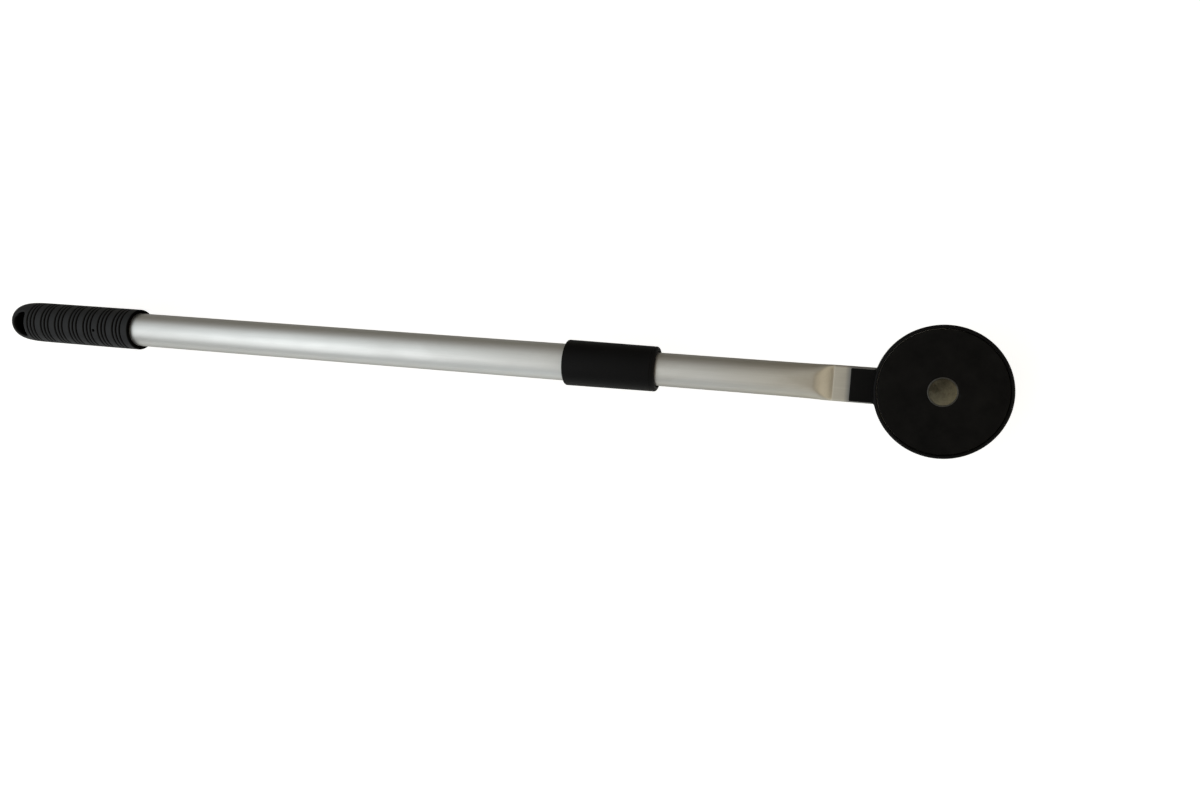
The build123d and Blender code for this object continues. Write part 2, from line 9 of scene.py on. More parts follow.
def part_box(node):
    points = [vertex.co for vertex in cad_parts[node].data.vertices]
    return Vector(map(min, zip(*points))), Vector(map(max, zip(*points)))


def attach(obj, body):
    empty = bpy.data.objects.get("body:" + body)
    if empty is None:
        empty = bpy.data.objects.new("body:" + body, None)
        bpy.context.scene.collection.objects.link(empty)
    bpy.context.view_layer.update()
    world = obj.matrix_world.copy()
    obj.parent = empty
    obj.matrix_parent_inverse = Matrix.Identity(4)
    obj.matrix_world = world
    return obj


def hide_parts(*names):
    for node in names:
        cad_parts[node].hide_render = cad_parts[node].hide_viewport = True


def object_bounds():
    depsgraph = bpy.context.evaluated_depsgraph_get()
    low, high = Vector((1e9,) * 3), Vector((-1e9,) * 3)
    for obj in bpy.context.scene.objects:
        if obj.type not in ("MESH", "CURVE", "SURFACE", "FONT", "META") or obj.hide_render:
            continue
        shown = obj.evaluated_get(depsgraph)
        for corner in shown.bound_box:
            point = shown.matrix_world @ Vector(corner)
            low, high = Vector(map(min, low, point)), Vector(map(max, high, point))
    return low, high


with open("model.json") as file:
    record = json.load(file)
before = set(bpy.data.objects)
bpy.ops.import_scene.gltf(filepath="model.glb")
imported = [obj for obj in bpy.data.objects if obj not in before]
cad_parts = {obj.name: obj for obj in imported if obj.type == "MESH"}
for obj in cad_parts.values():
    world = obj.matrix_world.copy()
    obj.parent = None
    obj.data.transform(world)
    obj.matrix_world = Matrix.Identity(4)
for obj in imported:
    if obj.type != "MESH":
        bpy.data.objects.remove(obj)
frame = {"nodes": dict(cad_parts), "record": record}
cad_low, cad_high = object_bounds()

# A hand-held magnetic sweeper on a telescopic pole. Metres, in the CAD frame: the origin is the
# centre of the magnet's working face, +Z points out of it and +X runs from the grip to the head.

MM = 0.001

PAN_FLOOR = 2.5 * MM
ARM_HEIGHT = 7.5 * MM

# Places read from the frame
grip_low, grip_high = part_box("handgrip")
outer_low, outer_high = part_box("outer_tube")
inner_low, inner_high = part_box("inner_tube")
collar_low, collar_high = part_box("lock_collar")
wiper_low, wiper_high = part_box("wiper_ring")
housing_low, housing_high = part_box("head_housing")
plate_low, plate_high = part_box("back_plate")
magnet_low, magnet_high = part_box("ring_magnet")
sleeve_low, sleeve_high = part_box("core_sleeve")
core_low, core_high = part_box("magnet_core")
washer_low, washer_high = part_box("core_washer")
spring_low, spring_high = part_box("core_spring_washer")
nut_low, nut_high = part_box("core_nut")
screw_low, screw_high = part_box("arm_screw")
strip_low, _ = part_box("nut_strip")
plug_low, plug_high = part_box("tail_plug")

axis_z = (grip_low.z + grip_high.z) / 2
grip_radius = (grip_high.y - grip_low.y) / 2
outer_radius = (outer_high.y - outer_low.y) / 2
flat_half_width = (inner_high.y - inner_low.y) / 2
inner_radius = (plug_high.y - plug_low.y) / 2
collar_radius = (collar_high.y - collar_low.y) / 2
head_radius = housing_high.x
head_back_z = magnet_low.z - (plate_high.z - plate_low.z) - PAN_FLOOR
arm_top_z = head_back_z + ARM_HEIGHT
screw_x = (screw_low.x + screw_high.x) / 2
core_radius = core_high.x
magnet_radius = magnet_high.x

# Grip
GRIP_TURN = math.radians(10)
DOME_LENGTH = 40.0 * MM
DOME_FULLNESS = 4.74
DOME_ROUNDNESS = 3.80
DOME_STEPS = 56
DOME_CROWDING = 1.7
TIP_FLAT = 2.5 * MM
MOUTH_STATIONS = (4.5 * MM, 1.4 * MM)
MOUTH_LAND = 3.0 * MM
MOUTH_ROUND = 1.1 * MM
GROOVE_FROM_MOUTH = 6.9 * MM
GROOVE_PITCH = 3.3 * MM
BAND_PITCH = 13.3 * MM
BAND_COUNT = 7
GROOVES_PER_BAND = 3
GROOVE_HALF_WIDTH = 0.95 * MM
GROOVE_DEPTH = 1.05 * MM
GROOVE_SQUARENESS = 0.6
GROOVE_OFFSETS = (-1, -0.8, -0.65, -0.5, -0.35, -0.2, 0, 0.2, 0.35, 0.5, 0.65, 0.8, 1)
EYE_FLAT_FROM_TIP = 17.7 * MM
EYE_LENGTH = 11.8 * MM
EYE_HALF_WIDTH = 9.3 * MM
EYE_CORNER = 2.2 * MM
EYE_LIP = 1.3 * MM
EYE_STEPS = 96
EYE_LEVELS = (-1.3, -0.8, -0.4, 0.0, 0.4, 0.8, 1.3)
VENT_FROM_MOUTH = 30.7 * MM
VENT_RADIUS = 1.2 * MM
VENT_STEPS = 24

# Tubes
TUBE_WALL = 1.0 * MM
SAG_START_X = -100.0 * MM
PRESS_START_X = -76.0 * MM
CREASE_X = -63.8 * MM
FLAT_RISE = 4.6 * MM
FLAT_CORNER = 1.6 * MM
SAG_SHARE = 0.36
PRESS_POWER = 1.6
PRESS_EASE = 0.08
EASE_POWER = 3.8
CORNER_SHARPENING = 2.2
CORNER_PHASE = math.radians(4 * 24)
CORNER_CROWDING = 0.17
PRESS_CROWDING = 1.6
LONG_STATIONS = (-300 * MM, -120 * MM)
FLAT_STATIONS = (-45 * MM, -32 * MM)

# Lock
COLLAR_WALL = 1.65 * MM
COLLAR_TAPER = 0.5 * MM
LINE_FROM_MOUTH = 3.0 * MM
LINE_HALF_WIDTH = 0.4 * MM
LINE_DEPTH = 0.35 * MM
MOUTH_BORE = 11.8 * MM
WIPER_GROOVE = 13.02 * MM
SHOULDER_BORE = 12.3 * MM
SHOULDER_WIDTH = 3.0 * MM

# Head
BACK_ROUND = 2.0 * MM
RIM_ROUND = 1.4 * MM
RIM_WALL = 2.0 * MM
ARM_HALF_WIDTH = 10.15 * MM
ARM_FLARE = 2.5 * MM
ARM_END_ROUND = 0.7 * MM
ARM_EDGE_ROUND = 0.6 * MM
ARM_OVERLAP = 3.0 * MM
ARM_ARC_STEPS = 8
ACCESS_HOLE_RADIUS = 4.4 * MM
HUB_RADIUS = 11.0 * MM
HUB_BORE = 9.4 * MM
RIB_ANGLES = (-120, -60, 0, 60, 120)
RIB_END = 35.0 * MM
RIB_HALF_WIDTH = 0.8 * MM
STUD_CLEARANCE = 3.2 * MM
STUD_RADIUS = 3.0 * MM
STUD_ROOT = 2.5 * MM
STUD_PITCH = 1.0 * MM
CHIP_BAND = 0.5 * MM
CHIP_START = 0.28
CHIP_DEPTH = 0.7 * MM
CHIP_SCALE = 420
CHIP_FINE_SCALE = 1300
NUT_BORE = 3.05 * MM
NUT_FACE_SHARE = 0.96
NUT_CHAMFER = math.radians(27)
SCREW_RADIUS = 2.0 * MM
SOCKET_HALF_WIDTH = 1.25 * MM

ROUND_STEPS = 176
POLE_STEPS = 176
PRESS_STEPS = 44


# Mesh helpers


def about_pole(x, radius, angle):
    """Point at x and a radius from the pole's axis."""
    return (x, radius * math.cos(angle), axis_z + radius * math.sin(angle))


def about_head(z, radius, angle):
    """Point at z and a radius from the magnet's axis."""
    return (radius * math.cos(angle), radius * math.sin(angle), z)


def rounded(corners, steps=4):
    """Outline through (a, b, radius) corners, with an arc at each corner that has a radius."""
    outline = []
    for index, (a, b, radius) in enumerate(corners):
        here = Vector((a, b))
        if radius <= 0:
            outline.append((a, b))
            continue
        before = (Vector(corners[index - 1][:2]) - here).normalized()
        after = (Vector(corners[(index + 1) % len(corners)][:2]) - here).normalized()
        half = before.angle(after) / 2
        centre = here + (before + after).normalized() * radius / math.sin(half)
        first = here + before * radius / math.tan(half) - centre
        last = here + after * radius / math.tan(half) - centre
        start = math.atan2(first.y, first.x)
        sweep = (math.atan2(last.y, last.x) - start + math.pi) % (2 * math.pi) - math.pi
        for step in range(steps + 1):
            angle = start + sweep * step / steps
            outline.append((centre.x + radius * math.cos(angle), centre.y + radius * math.sin(angle)))
    return outline


def mesh_object(name, verts, faces):
    """New linked object from points and faces."""
    mesh = bpy.data.meshes.new(name)
    mesh.from_pydata(verts, [], faces)
    obj = bpy.data.objects.new(name, mesh)
    bpy.context.scene.collection.objects.link(obj)
    return obj


def tidy(obj, sharp=35.0):
    """Merges doubled points, turns faces outwards and marks edges sharper than an angle."""
    mesh = bmesh.new()
    mesh.from_mesh(obj.data)
    bmesh.ops.remove_doubles(mesh, verts=mesh.verts, dist=1e-6)
    bmesh.ops.dissolve_degenerate(mesh, edges=mesh.edges, dist=1e-7)
    bmesh.ops.recalc_face_normals(mesh, faces=mesh.faces)
    for face in mesh.faces:
        face.smooth = True
    for edge in mesh.edges:
        edge.smooth = len(edge.link_faces) == 2 and edge.calc_face_angle(0) < math.radians(sharp)
    mesh.to_mesh(obj.data)
    mesh.free()
    return obj


def turned(name, outline, place, steps=ROUND_STEPS):
    """Closed outline of (along, radius) points turned about an axis."""
    verts = [
        place(along, radius, 2 * math.pi * step / steps)
        for step in range(steps)
        for along, radius in outline
    ]
    count = len(outline)
    faces = []
    for step in range(steps):
        here = step * count
        there = ((step + 1) % steps) * count
        for index in range(count):
            after = (index + 1) % count
            faces.append((here + index, here + after, there + after, there + index))
    return tidy(mesh_object(name, verts, faces))


def stacked(name, loops, closed_ends=True):
    """Skin through closed loops of equal length, with flat ends."""
    count = len(loops[0])
    verts = [point for loop in loops for point in loop]
    faces = []
    for level in range(len(loops) - 1):
        for index in range(count):
            after = (index + 1) % count
            low = level * count
            high = low + count
            faces.append((low + index, low + after, high + after, high + index))
    if closed_ends:
        faces.append(tuple(range(count)))
        faces.append(tuple(range(len(verts) - count, len(verts))))
    return tidy(mesh_object(name, verts, faces))


def rounded_block(name, low, high, radius, steps=2):
    """Box between two corners with bevelled edges."""
    obj = mesh_object(name, [], [])
    mesh = bmesh.new()
    bmesh.ops.create_cube(mesh, size=1.0)
    size = Vector(high) - Vector(low)
    bmesh.ops.scale(mesh, vec=size, verts=mesh.verts)
    bmesh.ops.translate(mesh, vec=(Vector(low) + Vector(high)) / 2, verts=mesh.verts)
    bmesh.ops.bevel(
        mesh, geom=mesh.edges[:], offset=radius, segments=steps, profile=0.5, affect="EDGES"
    )
    mesh.to_mesh(obj.data)
    mesh.free()
    return obj


def combine(obj, other, operation):
    """Boolean of obj with other, applied, and other removed."""
    modifier = obj.modifiers.new("combine", "BOOLEAN")
    modifier.operation = operation
    modifier.solver = "EXACT"
    modifier.object = other
    bpy.context.view_layer.update()
    graph = bpy.context.evaluated_depsgraph_get()
    result = bpy.data.meshes.new_from_object(obj.evaluated_get(graph))
    obj.modifiers.clear()
    old = obj.data
    obj.data = result
    result.name = obj.name
    bpy.data.meshes.remove(old)
    bpy.data.objects.remove(other)
    return obj


def even_normals(obj):
    """Keeps wide flat faces flat-shaded beside small curved ones."""
    modifier = obj.modifiers.new("even_normals", "WEIGHTED_NORMAL")
    modifier.keep_sharp = True
    return obj


def dress(obj, slot):
    """Gives a piece the finish of a record slot."""
    obj.data.materials.clear()
    obj.data.materials.append(finishes[slot])


# Grip


def dome_radius(distance):
    """Radius of the grip at a distance from its tip."""
    share = min(distance / DOME_LENGTH, 1.0)
    return grip_radius * (1 - (1 - share) ** DOME_FULLNESS) ** (1 / DOME_ROUNDNESS)


def groove_centres():
    """Places of the grooves along the pole, in threes behind each wide band."""
    return [
        grip_high.x - GROOVE_FROM_MOUTH - band * BAND_PITCH - groove * GROOVE_PITCH
        for band in range(BAND_COUNT)
        for groove in range(GROOVES_PER_BAND)
    ]


def groove_depth(x, centres):
    """Depth of the nearest groove at x."""
    nearest = min(abs(x - centre) for centre in centres) / GROOVE_HALF_WIDTH
    if nearest >= 1:
        return 0.0
    return GROOVE_DEPTH * (0.5 + 0.5 * math.cos(math.pi * nearest)) ** GROOVE_SQUARENESS


def grip_stations(centres):
    """Places along the grip's outside where its outline has a point."""
    tip = grip_low.x
    smooth = min(centres) - 2 * MM - tip
    stations = [tip + smooth * (step / DOME_STEPS) ** DOME_CROWDING for step in range(DOME_STEPS)]
    for centre in sorted(centres):
        stations += [centre + offset * GROOVE_HALF_WIDTH for offset in GROOVE_OFFSETS]
        stations.append(centre + GROOVE_PITCH / 2)
    stations += [grip_high.x - back for back in MOUTH_STATIONS]
    return stations


def grip_outline():
    """Section of the grip from the tip round to its bore."""
    centres = groove_centres()
    outside = [(grip_low.x, 0.0), (grip_low.x, TIP_FLAT)]
    for x in grip_stations(centres)[1:]:
        outside.append((x, dome_radius(x - grip_low.x) - groove_depth(x, centres)))
    mouth = grip_high.x
    bore = outer_radius + 0.02 * MM
    edge = rounded(
        [
            (mouth - MOUTH_LAND, grip_radius, 0),
            (mouth, grip_radius, MOUTH_ROUND),
            (mouth, bore + 0.5 * MM, 0.3 * MM),
            (mouth - 0.8 * MM, bore, 0),
            (outer_low.x, bore, 0),
            (outer_low.x, 0, 0),
        ]
    )
    return outside + edge[1:]


def eye_distance(x, y):
    """Signed distance from the D-shaped eye's outline, negative inside it."""
    circle = (EYE_HALF_WIDTH ** 2 + EYE_LENGTH ** 2) / (2 * EYE_LENGTH)
    flat_x = grip_low.x + EYE_FLAT_FROM_TIP
    past_flat = x - flat_x + EYE_CORNER
    past_round = math.hypot(x - (flat_x - EYE_LENGTH + circle), y) - circle + EYE_CORNER
    outside = math.hypot(max(past_flat, 0), max(past_round, 0))
    return outside + min(max(past_flat, past_round), 0) - EYE_CORNER


def soften_eye(obj):
    """Draws the grip's skin in round the eye, so that the cut has a rounded lip."""
    cos, sin = math.cos(GRIP_TURN), math.sin(GRIP_TURN)
    limit = grip_low.x + EYE_FLAT_FROM_TIP + EYE_LIP
    for vert in obj.data.vertices:
        if vert.co.x > limit:
            continue
        side, up = vert.co.y, vert.co.z - axis_z
        across = side * cos + up * sin
        height = up * cos - side * sin
        if abs(height) < 2 * MM:
            continue
        distance = min(max(eye_distance(vert.co.x, across), 0.0), EYE_LIP)
        drop = EYE_LIP - math.sqrt(EYE_LIP ** 2 - (EYE_LIP - distance) ** 2)
        height -= math.copysign(drop, height)
        vert.co.y = across * cos - height * sin
        vert.co.z = axis_z + across * sin + height * cos


def across_grip(cutter):
    """Moves a cutter from the world's origin to the pole's axis, turned with the grip."""
    cutter.data.transform(Matrix.Translation((0, 0, axis_z)) @ Matrix.Rotation(GRIP_TURN, 4, "X"))
    return cutter


def eye_cutter():
    """Prism with the eye's outline, set across the grip."""
    middle_x = grip_low.x + EYE_FLAT_FROM_TIP - EYE_LENGTH / 2
    outline = []
    for step in range(EYE_STEPS):
        angle = 2 * math.pi * step / EYE_STEPS
        low, high = 0.0, 2 * EYE_HALF_WIDTH
        for _ in range(30):
            middle = (low + high) / 2
            inside = eye_distance(middle_x + middle * math.cos(angle), middle * math.sin(angle)) < 0
            low, high = (middle, high) if inside else (low, middle)
        outline.append((middle_x + low * math.cos(angle), low * math.sin(angle)))
    loops = [[(x, y, level * grip_radius) for x, y in outline] for level in EYE_LEVELS]
    return across_grip(stacked("eye_cutter", loops))


def vent_cutter():
    """Small cylinder into the grip's wall."""
    x = grip_high.x - VENT_FROM_MOUTH
    loops = []
    for height in (outer_radius + 0.4 * MM, grip_radius + 2 * MM):
        loop = []
        for step in range(VENT_STEPS):
            angle = 2 * math.pi * step / VENT_STEPS
            loop.append((x + VENT_RADIUS * math.cos(angle), VENT_RADIUS * math.sin(angle), height))
        loops.append(loop)
    return across_grip(stacked("vent_cutter", loops))


def make_grip():
    """Ribbed rubber grip with its hanging eye and vent."""
    grip = turned("handgrip_skin", grip_outline(), about_pole)
    soften_eye(grip)
    combine(grip, eye_cutter(), "DIFFERENCE")
    combine(grip, vent_cutter(), "DIFFERENCE")
    return tidy(grip, 50)


# Tubes


def make_outer_tube():
    """Plain tube with softened ends."""
    corners = [
        (outer_low.x, outer_radius - TUBE_WALL, 0.15 * MM),
        (outer_high.x, outer_radius - TUBE_WALL, 0.15 * MM),
        (outer_high.x, outer_radius, 0.25 * MM),
        (outer_low.x, outer_radius, 0.25 * MM),
    ]
    outline = rounded(corners, 3)
    return turned("outer_tube_skin", outline, about_pole)


def in_section(y, z, half_width, rise, corner):
    """Signed distance from a section with a flat top, rounded corners and a round underside."""
    if z < 0:
        return math.hypot(y, z) - half_width
    past_side = abs(y) - half_width + corner
    past_top = z - rise + corner
    outside = math.hypot(max(past_side, 0), max(past_top, 0))
    return outside + min(max(past_side, past_top), 0) - corner


def section_radius(angle, half_width, rise, corner):
    """Distance from the pole's axis to the section's outline in one direction."""
    low, high = 0.0, 2 * half_width
    for _ in range(26):
        middle = (low + high) / 2
        y, z = middle * math.cos(angle), middle * math.sin(angle)
        low, high = (low, middle) if in_section(y, z, half_width, rise, corner) > 0 else (middle, high)
    return low


def section_angles():
    """Directions of the section's points, closer together at the flat's two corners."""
    angles = []
    for step in range(POLE_STEPS):
        turn = 2 * math.pi * step / POLE_STEPS
        half = min(turn, math.pi - turn)
        if half > 0:
            half -= CORNER_CROWDING * (math.sin(4 * half - CORNER_PHASE) + math.sin(CORNER_PHASE))
        angles.append(half if turn < math.pi / 2 else math.pi - half)
    return angles


def pole_loop(x, inset):
    """Loop of the inner tube's skin at x: round, then sagging and pressed down to the crease."""
    sag = min(max((x - SAG_START_X) / (CREASE_X - SAG_START_X), 0.0), 1.0)
    press = min(max((x - PRESS_START_X) / (CREASE_X - PRESS_START_X), 0.0), 1.0)
    ramp = press ** PRESS_POWER * (1 + PRESS_EASE * (1 - press ** EASE_POWER))
    sunk = SAG_SHARE * sag ** 2 + (1 - SAG_SHARE) * ramp
    half_width = inner_radius + (flat_half_width - inner_radius) * sunk - inset
    rise = inner_radius + (FLAT_RISE - inner_radius) * sunk - inset
    corner = FLAT_CORNER + (inner_radius - FLAT_CORNER) * (1 - sunk) ** CORNER_SHARPENING
    corner = min(max(corner - inset, 0.5 * MM), rise, half_width)
    loop = []
    for angle in section_angles():
        radius = section_radius(angle, half_width, rise, corner)
        loop.append((x, radius * math.cos(angle), axis_z + radius * math.sin(angle)))
    return loop


def make_inner_tube():
    """Sliding tube with its pressed end and the access hole for the arm's screw."""
    tail, end = inner_low.x, inner_high.x
    soft = 0.2 * MM
    press = CREASE_X - SAG_START_X
    shares = [step / PRESS_STEPS for step in range(PRESS_STEPS)]
    stations = [tail + 0.6 * soft, tail + soft, *LONG_STATIONS]
    stations += [SAG_START_X + press * (1 - (1 - share) ** PRESS_CROWDING) for share in shares]
    stations += [CREASE_X, CREASE_X + 0.3 * MM, *FLAT_STATIONS]
    stations += [end - soft, end - 0.4 * soft]
    outside = [pole_loop(tail, 0.5 * soft)]
    outside += [pole_loop(x, 0) for x in stations]
    outside += [pole_loop(end, 0.5 * soft)]
    inside = [pole_loop(end, TUBE_WALL - 0.5 * soft)]
    inside += [pole_loop(x, TUBE_WALL) for x in reversed(stations)]
    inside += [pole_loop(tail, TUBE_WALL - 0.5 * soft)]
    tube = stacked("inner_tube_skin", outside + inside + outside[:1], closed_ends=False)
    drill = [(inner_low.z - 2 * MM, 0), (inner_low.z - 2 * MM, ACCESS_HOLE_RADIUS)]
    drill += [(axis_z, ACCESS_HOLE_RADIUS), (axis_z, 0)]
    cutter = turned("access_drill", drill, about_head, 48)
    cutter.data.transform(Matrix.Translation((screw_x, 0, 0)))
    return even_normals(tidy(combine(tube, cutter, "DIFFERENCE"), 20))


# Twist lock


def make_collar():
    """Smooth collar, a little tapered, with a faint line near its mouth."""
    rear, front = collar_low.x, collar_high.x
    bore = collar_radius - COLLAR_WALL
    line = front - LINE_FROM_MOUTH
    slim = collar_radius - COLLAR_TAPER
    groove_front, groove_rear = wiper_high.x + 0.1 * MM, wiper_low.x - 0.1 * MM
    shoulder = wiper_low.x - SHOULDER_WIDTH
    corners = [
        (rear, bore, 0.3 * MM),
        (rear, collar_radius, 1.2 * MM),
        (line - LINE_HALF_WIDTH, slim, 0.1 * MM),
        (line, slim - LINE_DEPTH, 0.15 * MM),
        (line + LINE_HALF_WIDTH, slim, 0.15 * MM),
        (front, slim - 0.05 * MM, 1.9 * MM),
        (front, MOUTH_BORE + 0.3 * MM, 0.3 * MM),
        (front - 0.9 * MM, MOUTH_BORE, 0.2 * MM),
        (groove_front, MOUTH_BORE, 0),
        (groove_front, WIPER_GROOVE, 0),
        (groove_rear, WIPER_GROOVE, 0),
        (groove_rear, SHOULDER_BORE, 0),
        (shoulder, SHOULDER_BORE, 0),
        (shoulder, bore, 0),
    ]
    return turned("lock_collar_skin", rounded(corners, 5), about_pole)


# Head


def arm_loop(inset, z):
    """Plan outline of the arm, from inside the rim round its rear end, at height z."""
    flare = Vector((0.0, ARM_HALF_WIDTH + ARM_FLARE))
    flare.x = -math.sqrt((head_radius + ARM_FLARE) ** 2 - flare.y ** 2)
    radius = ARM_FLARE + inset
    start = math.atan2(-flare.y, -flare.x)
    side = []
    for step in range(ARM_ARC_STEPS + 1):
        angle = start + (-math.pi / 2 - start) * step / ARM_ARC_STEPS
        side.append((flare.x + radius * math.cos(angle), flare.y + radius * math.sin(angle)))
    inward = Vector(side[0]).normalized() * ARM_OVERLAP
    side.insert(0, (side[0][0] - inward.x, side[0][1] - inward.y))
    corner = ARM_END_ROUND - inset
    rear = housing_low.x + inset
    middle = (rear + corner, ARM_HALF_WIDTH - inset - corner)
    side.append(((flare.x + middle[0]) / 2, ARM_HALF_WIDTH - inset))
    for step in range(ARM_ARC_STEPS + 1):
        angle = math.pi / 2 * (1 + step / ARM_ARC_STEPS)
        side.append((middle[0] + corner * math.cos(angle), middle[1] + corner * math.sin(angle)))
    whole = side + [(x, -y) for x, y in reversed(side)]
    return [(x, y, z) for x, y in whole]


def make_arm():
    """Rounded bar that carries the head on the pole's flat."""
    loops = [arm_loop(0.3 * MM, head_back_z), arm_loop(0, head_back_z + 0.3 * MM)]
    for step in range(ARM_ARC_STEPS + 1):
        turn = math.pi / 2 * step / ARM_ARC_STEPS
        inset = ARM_EDGE_ROUND * (1 - math.cos(turn))
        loops.append(arm_loop(inset, arm_top_z - ARM_EDGE_ROUND * (1 - math.sin(turn))))
    return stacked("arm", loops)


def make_housing():
    """Moulded pan with its arm, hub and back ribs."""
    body = rounded(
        [
            (head_back_z, 0, 0),
            (head_back_z, head_radius, BACK_ROUND),
            (0, head_radius, RIM_ROUND),
            (0, 0, 0),
        ],
        8,
    )
    housing = turned("head_housing_skin", body, about_head, 192)
    combine(housing, make_arm(), "UNION")
    rib_z = housing_low.z
    hub = rounded(
        [
            (head_back_z + 1.0 * MM, HUB_BORE, 0),
            (rib_z, HUB_BORE, 0.25 * MM),
            (rib_z, HUB_RADIUS, 0.4 * MM),
            (head_back_z + 1.0 * MM, HUB_RADIUS, 0),
        ]
    )
    combine(housing, turned("hub", hub, about_head, 96), "UNION")
    for angle in RIB_ANGLES:
        low = (HUB_RADIUS - 0.7 * MM, -RIB_HALF_WIDTH, rib_z)
        high = (RIB_END, RIB_HALF_WIDTH, head_back_z + 1.2 * MM)
        rib = rounded_block("rib", low, high, 0.3 * MM)
        rib.data.transform(Matrix.Rotation(math.radians(angle), 4, "Z"))
        combine(housing, rib, "UNION")
    wall = head_radius - RIM_WALL
    cavity = rounded(
        [
            (plate_low.z, 0, 0),
            (plate_low.z, wall, 0.3 * MM),
            (-0.45 * MM, wall, 0),
            (0.1 * MM, wall + 0.5 * MM, 0),
            (1.0 * MM, wall + 0.5 * MM, 0),
            (1.0 * MM, 0, 0),
        ],
        4,
    )
    combine(housing, turned("cavity", cavity, about_head, 192), "DIFFERENCE")
    hole = [(head_back_z - 1 * MM, 0), (head_back_z - 1 * MM, STUD_CLEARANCE)]
    hole += [(0.0, STUD_CLEARANCE), (0.0, 0)]
    combine(housing, turned("stud_hole", hole, about_head, 48), "DIFFERENCE")
    return even_normals(tidy(housing, 32))


def make_magnet():
    """Ferrite ring with slightly chipped edges."""
    hole = sleeve_high.x + 0.02 * MM
    corners = [
        (magnet_low.z, hole, 0.2 * MM),
        (magnet_low.z, magnet_radius, 0.3 * MM),
        (magnet_high.z - 1.2 * MM, magnet_radius, 0),
        (magnet_high.z, magnet_radius, 0.45 * MM),
        (magnet_high.z, magnet_radius - 1.0 * MM, 0),
        (magnet_high.z, magnet_radius - 2.0 * MM, 0),
        (magnet_high.z, hole + 2.0 * MM, 0),
        (magnet_high.z, hole + 1.0 * MM, 0),
        (magnet_high.z, hole, 0.35 * MM),
    ]
    ring = turned("ring_magnet_skin", rounded(corners, 4), about_head, 256)
    for vert in ring.data.vertices:
        radius = math.hypot(vert.co.x, vert.co.y)
        near_edge = min(radius - hole, magnet_radius - radius) < CHIP_BAND
        if near_edge and vert.co.z > magnet_high.z - CHIP_BAND:
            chip = noise.noise(vert.co * CHIP_SCALE)
            chip += 0.5 * noise.noise(vert.co * CHIP_FINE_SCALE)
            vert.co.z -= max(chip - CHIP_START, 0) * CHIP_DEPTH
    return even_normals(ring)


def stud_loops(bottom, top, steps=40):
    """Loops of the stud's thread about the magnet's axis, between two heights."""
    rows = max(2, round((top - bottom) / STUD_PITCH * 8))
    loops = []
    for row in range(rows + 1):
        z = bottom + (top - bottom) * row / rows
        loop = []
        for step in range(steps):
            angle = 2 * math.pi * step / steps
            phase = (z / STUD_PITCH - step / steps) % 1.0
            ridge = min(1.0, 2.4 * min(phase, 1 - phase))
            radius = STUD_ROOT + (STUD_RADIUS - STUD_ROOT) * ridge
            lead_in = STUD_RADIUS - 0.7 * MM + (z - bottom)
            radius = min(radius, max(lead_in, STUD_ROOT - 0.2 * MM))
            loop.append(about_head(z, radius, angle))
        loops.append(loop)
    return loops


def make_core():
    """Pole piece with its chamfered face and its threaded stud."""
    z, top = magnet_low.z, core_high.z
    corners = [(z, 0, 0), (z, core_radius, 0.2 * MM), (top, core_radius, 0.45 * MM), (top, 0, 0)]
    core = turned("magnet_core_skin", rounded(corners, 4), about_head, 96)
    stud = stacked("stud", stud_loops(core_low.z, z + 1 * MM))
    combine(core, stud, "UNION")
    return tidy(core, 40)


def make_core_sleeve():
    """Thin bright sleeve round the core."""
    low, high = sleeve_low.z, sleeve_high.z
    inner, outer = core_radius + 0.02 * MM, sleeve_high.x
    corners = [
        (low, inner, 0),
        (low, outer, 0),
        (high, outer, 0.2 * MM),
        (high, inner, 0.15 * MM),
    ]
    return turned("core_sleeve_skin", rounded(corners, 3), about_head, 128)


def make_washer():
    """Large stamped washer with one rolled edge."""
    low, high, radius = washer_low.z, washer_high.z, washer_high.x
    corners = [
        (high, STUD_CLEARANCE, 0.12 * MM),
        (low, STUD_CLEARANCE, 0.3 * MM),
        (low, radius, 0.5 * MM),
        (high, radius, 0.12 * MM),
    ]
    return turned("core_washer_skin", rounded(corners, 4), about_head, 96)


def make_spring_washer():
    """Split spring washer of square section."""
    low, high, radius = spring_low.z, spring_high.z, spring_high.y
    section = rounded(
        [
            (low, STUD_CLEARANCE, 0.2 * MM),
            (low, radius, 0.2 * MM),
            (high, radius, 0.2 * MM),
            (high, STUD_CLEARANCE, 0.2 * MM),
        ],
        2,
    )
    gap = math.radians(6)
    steps = 72
    loops = []
    for step in range(steps + 1):
        angle = gap + (2 * math.pi - 2 * gap) * step / steps
        loops.append([about_head(z, r, angle) for z, r in section])
    return stacked("core_spring_washer_skin", loops)


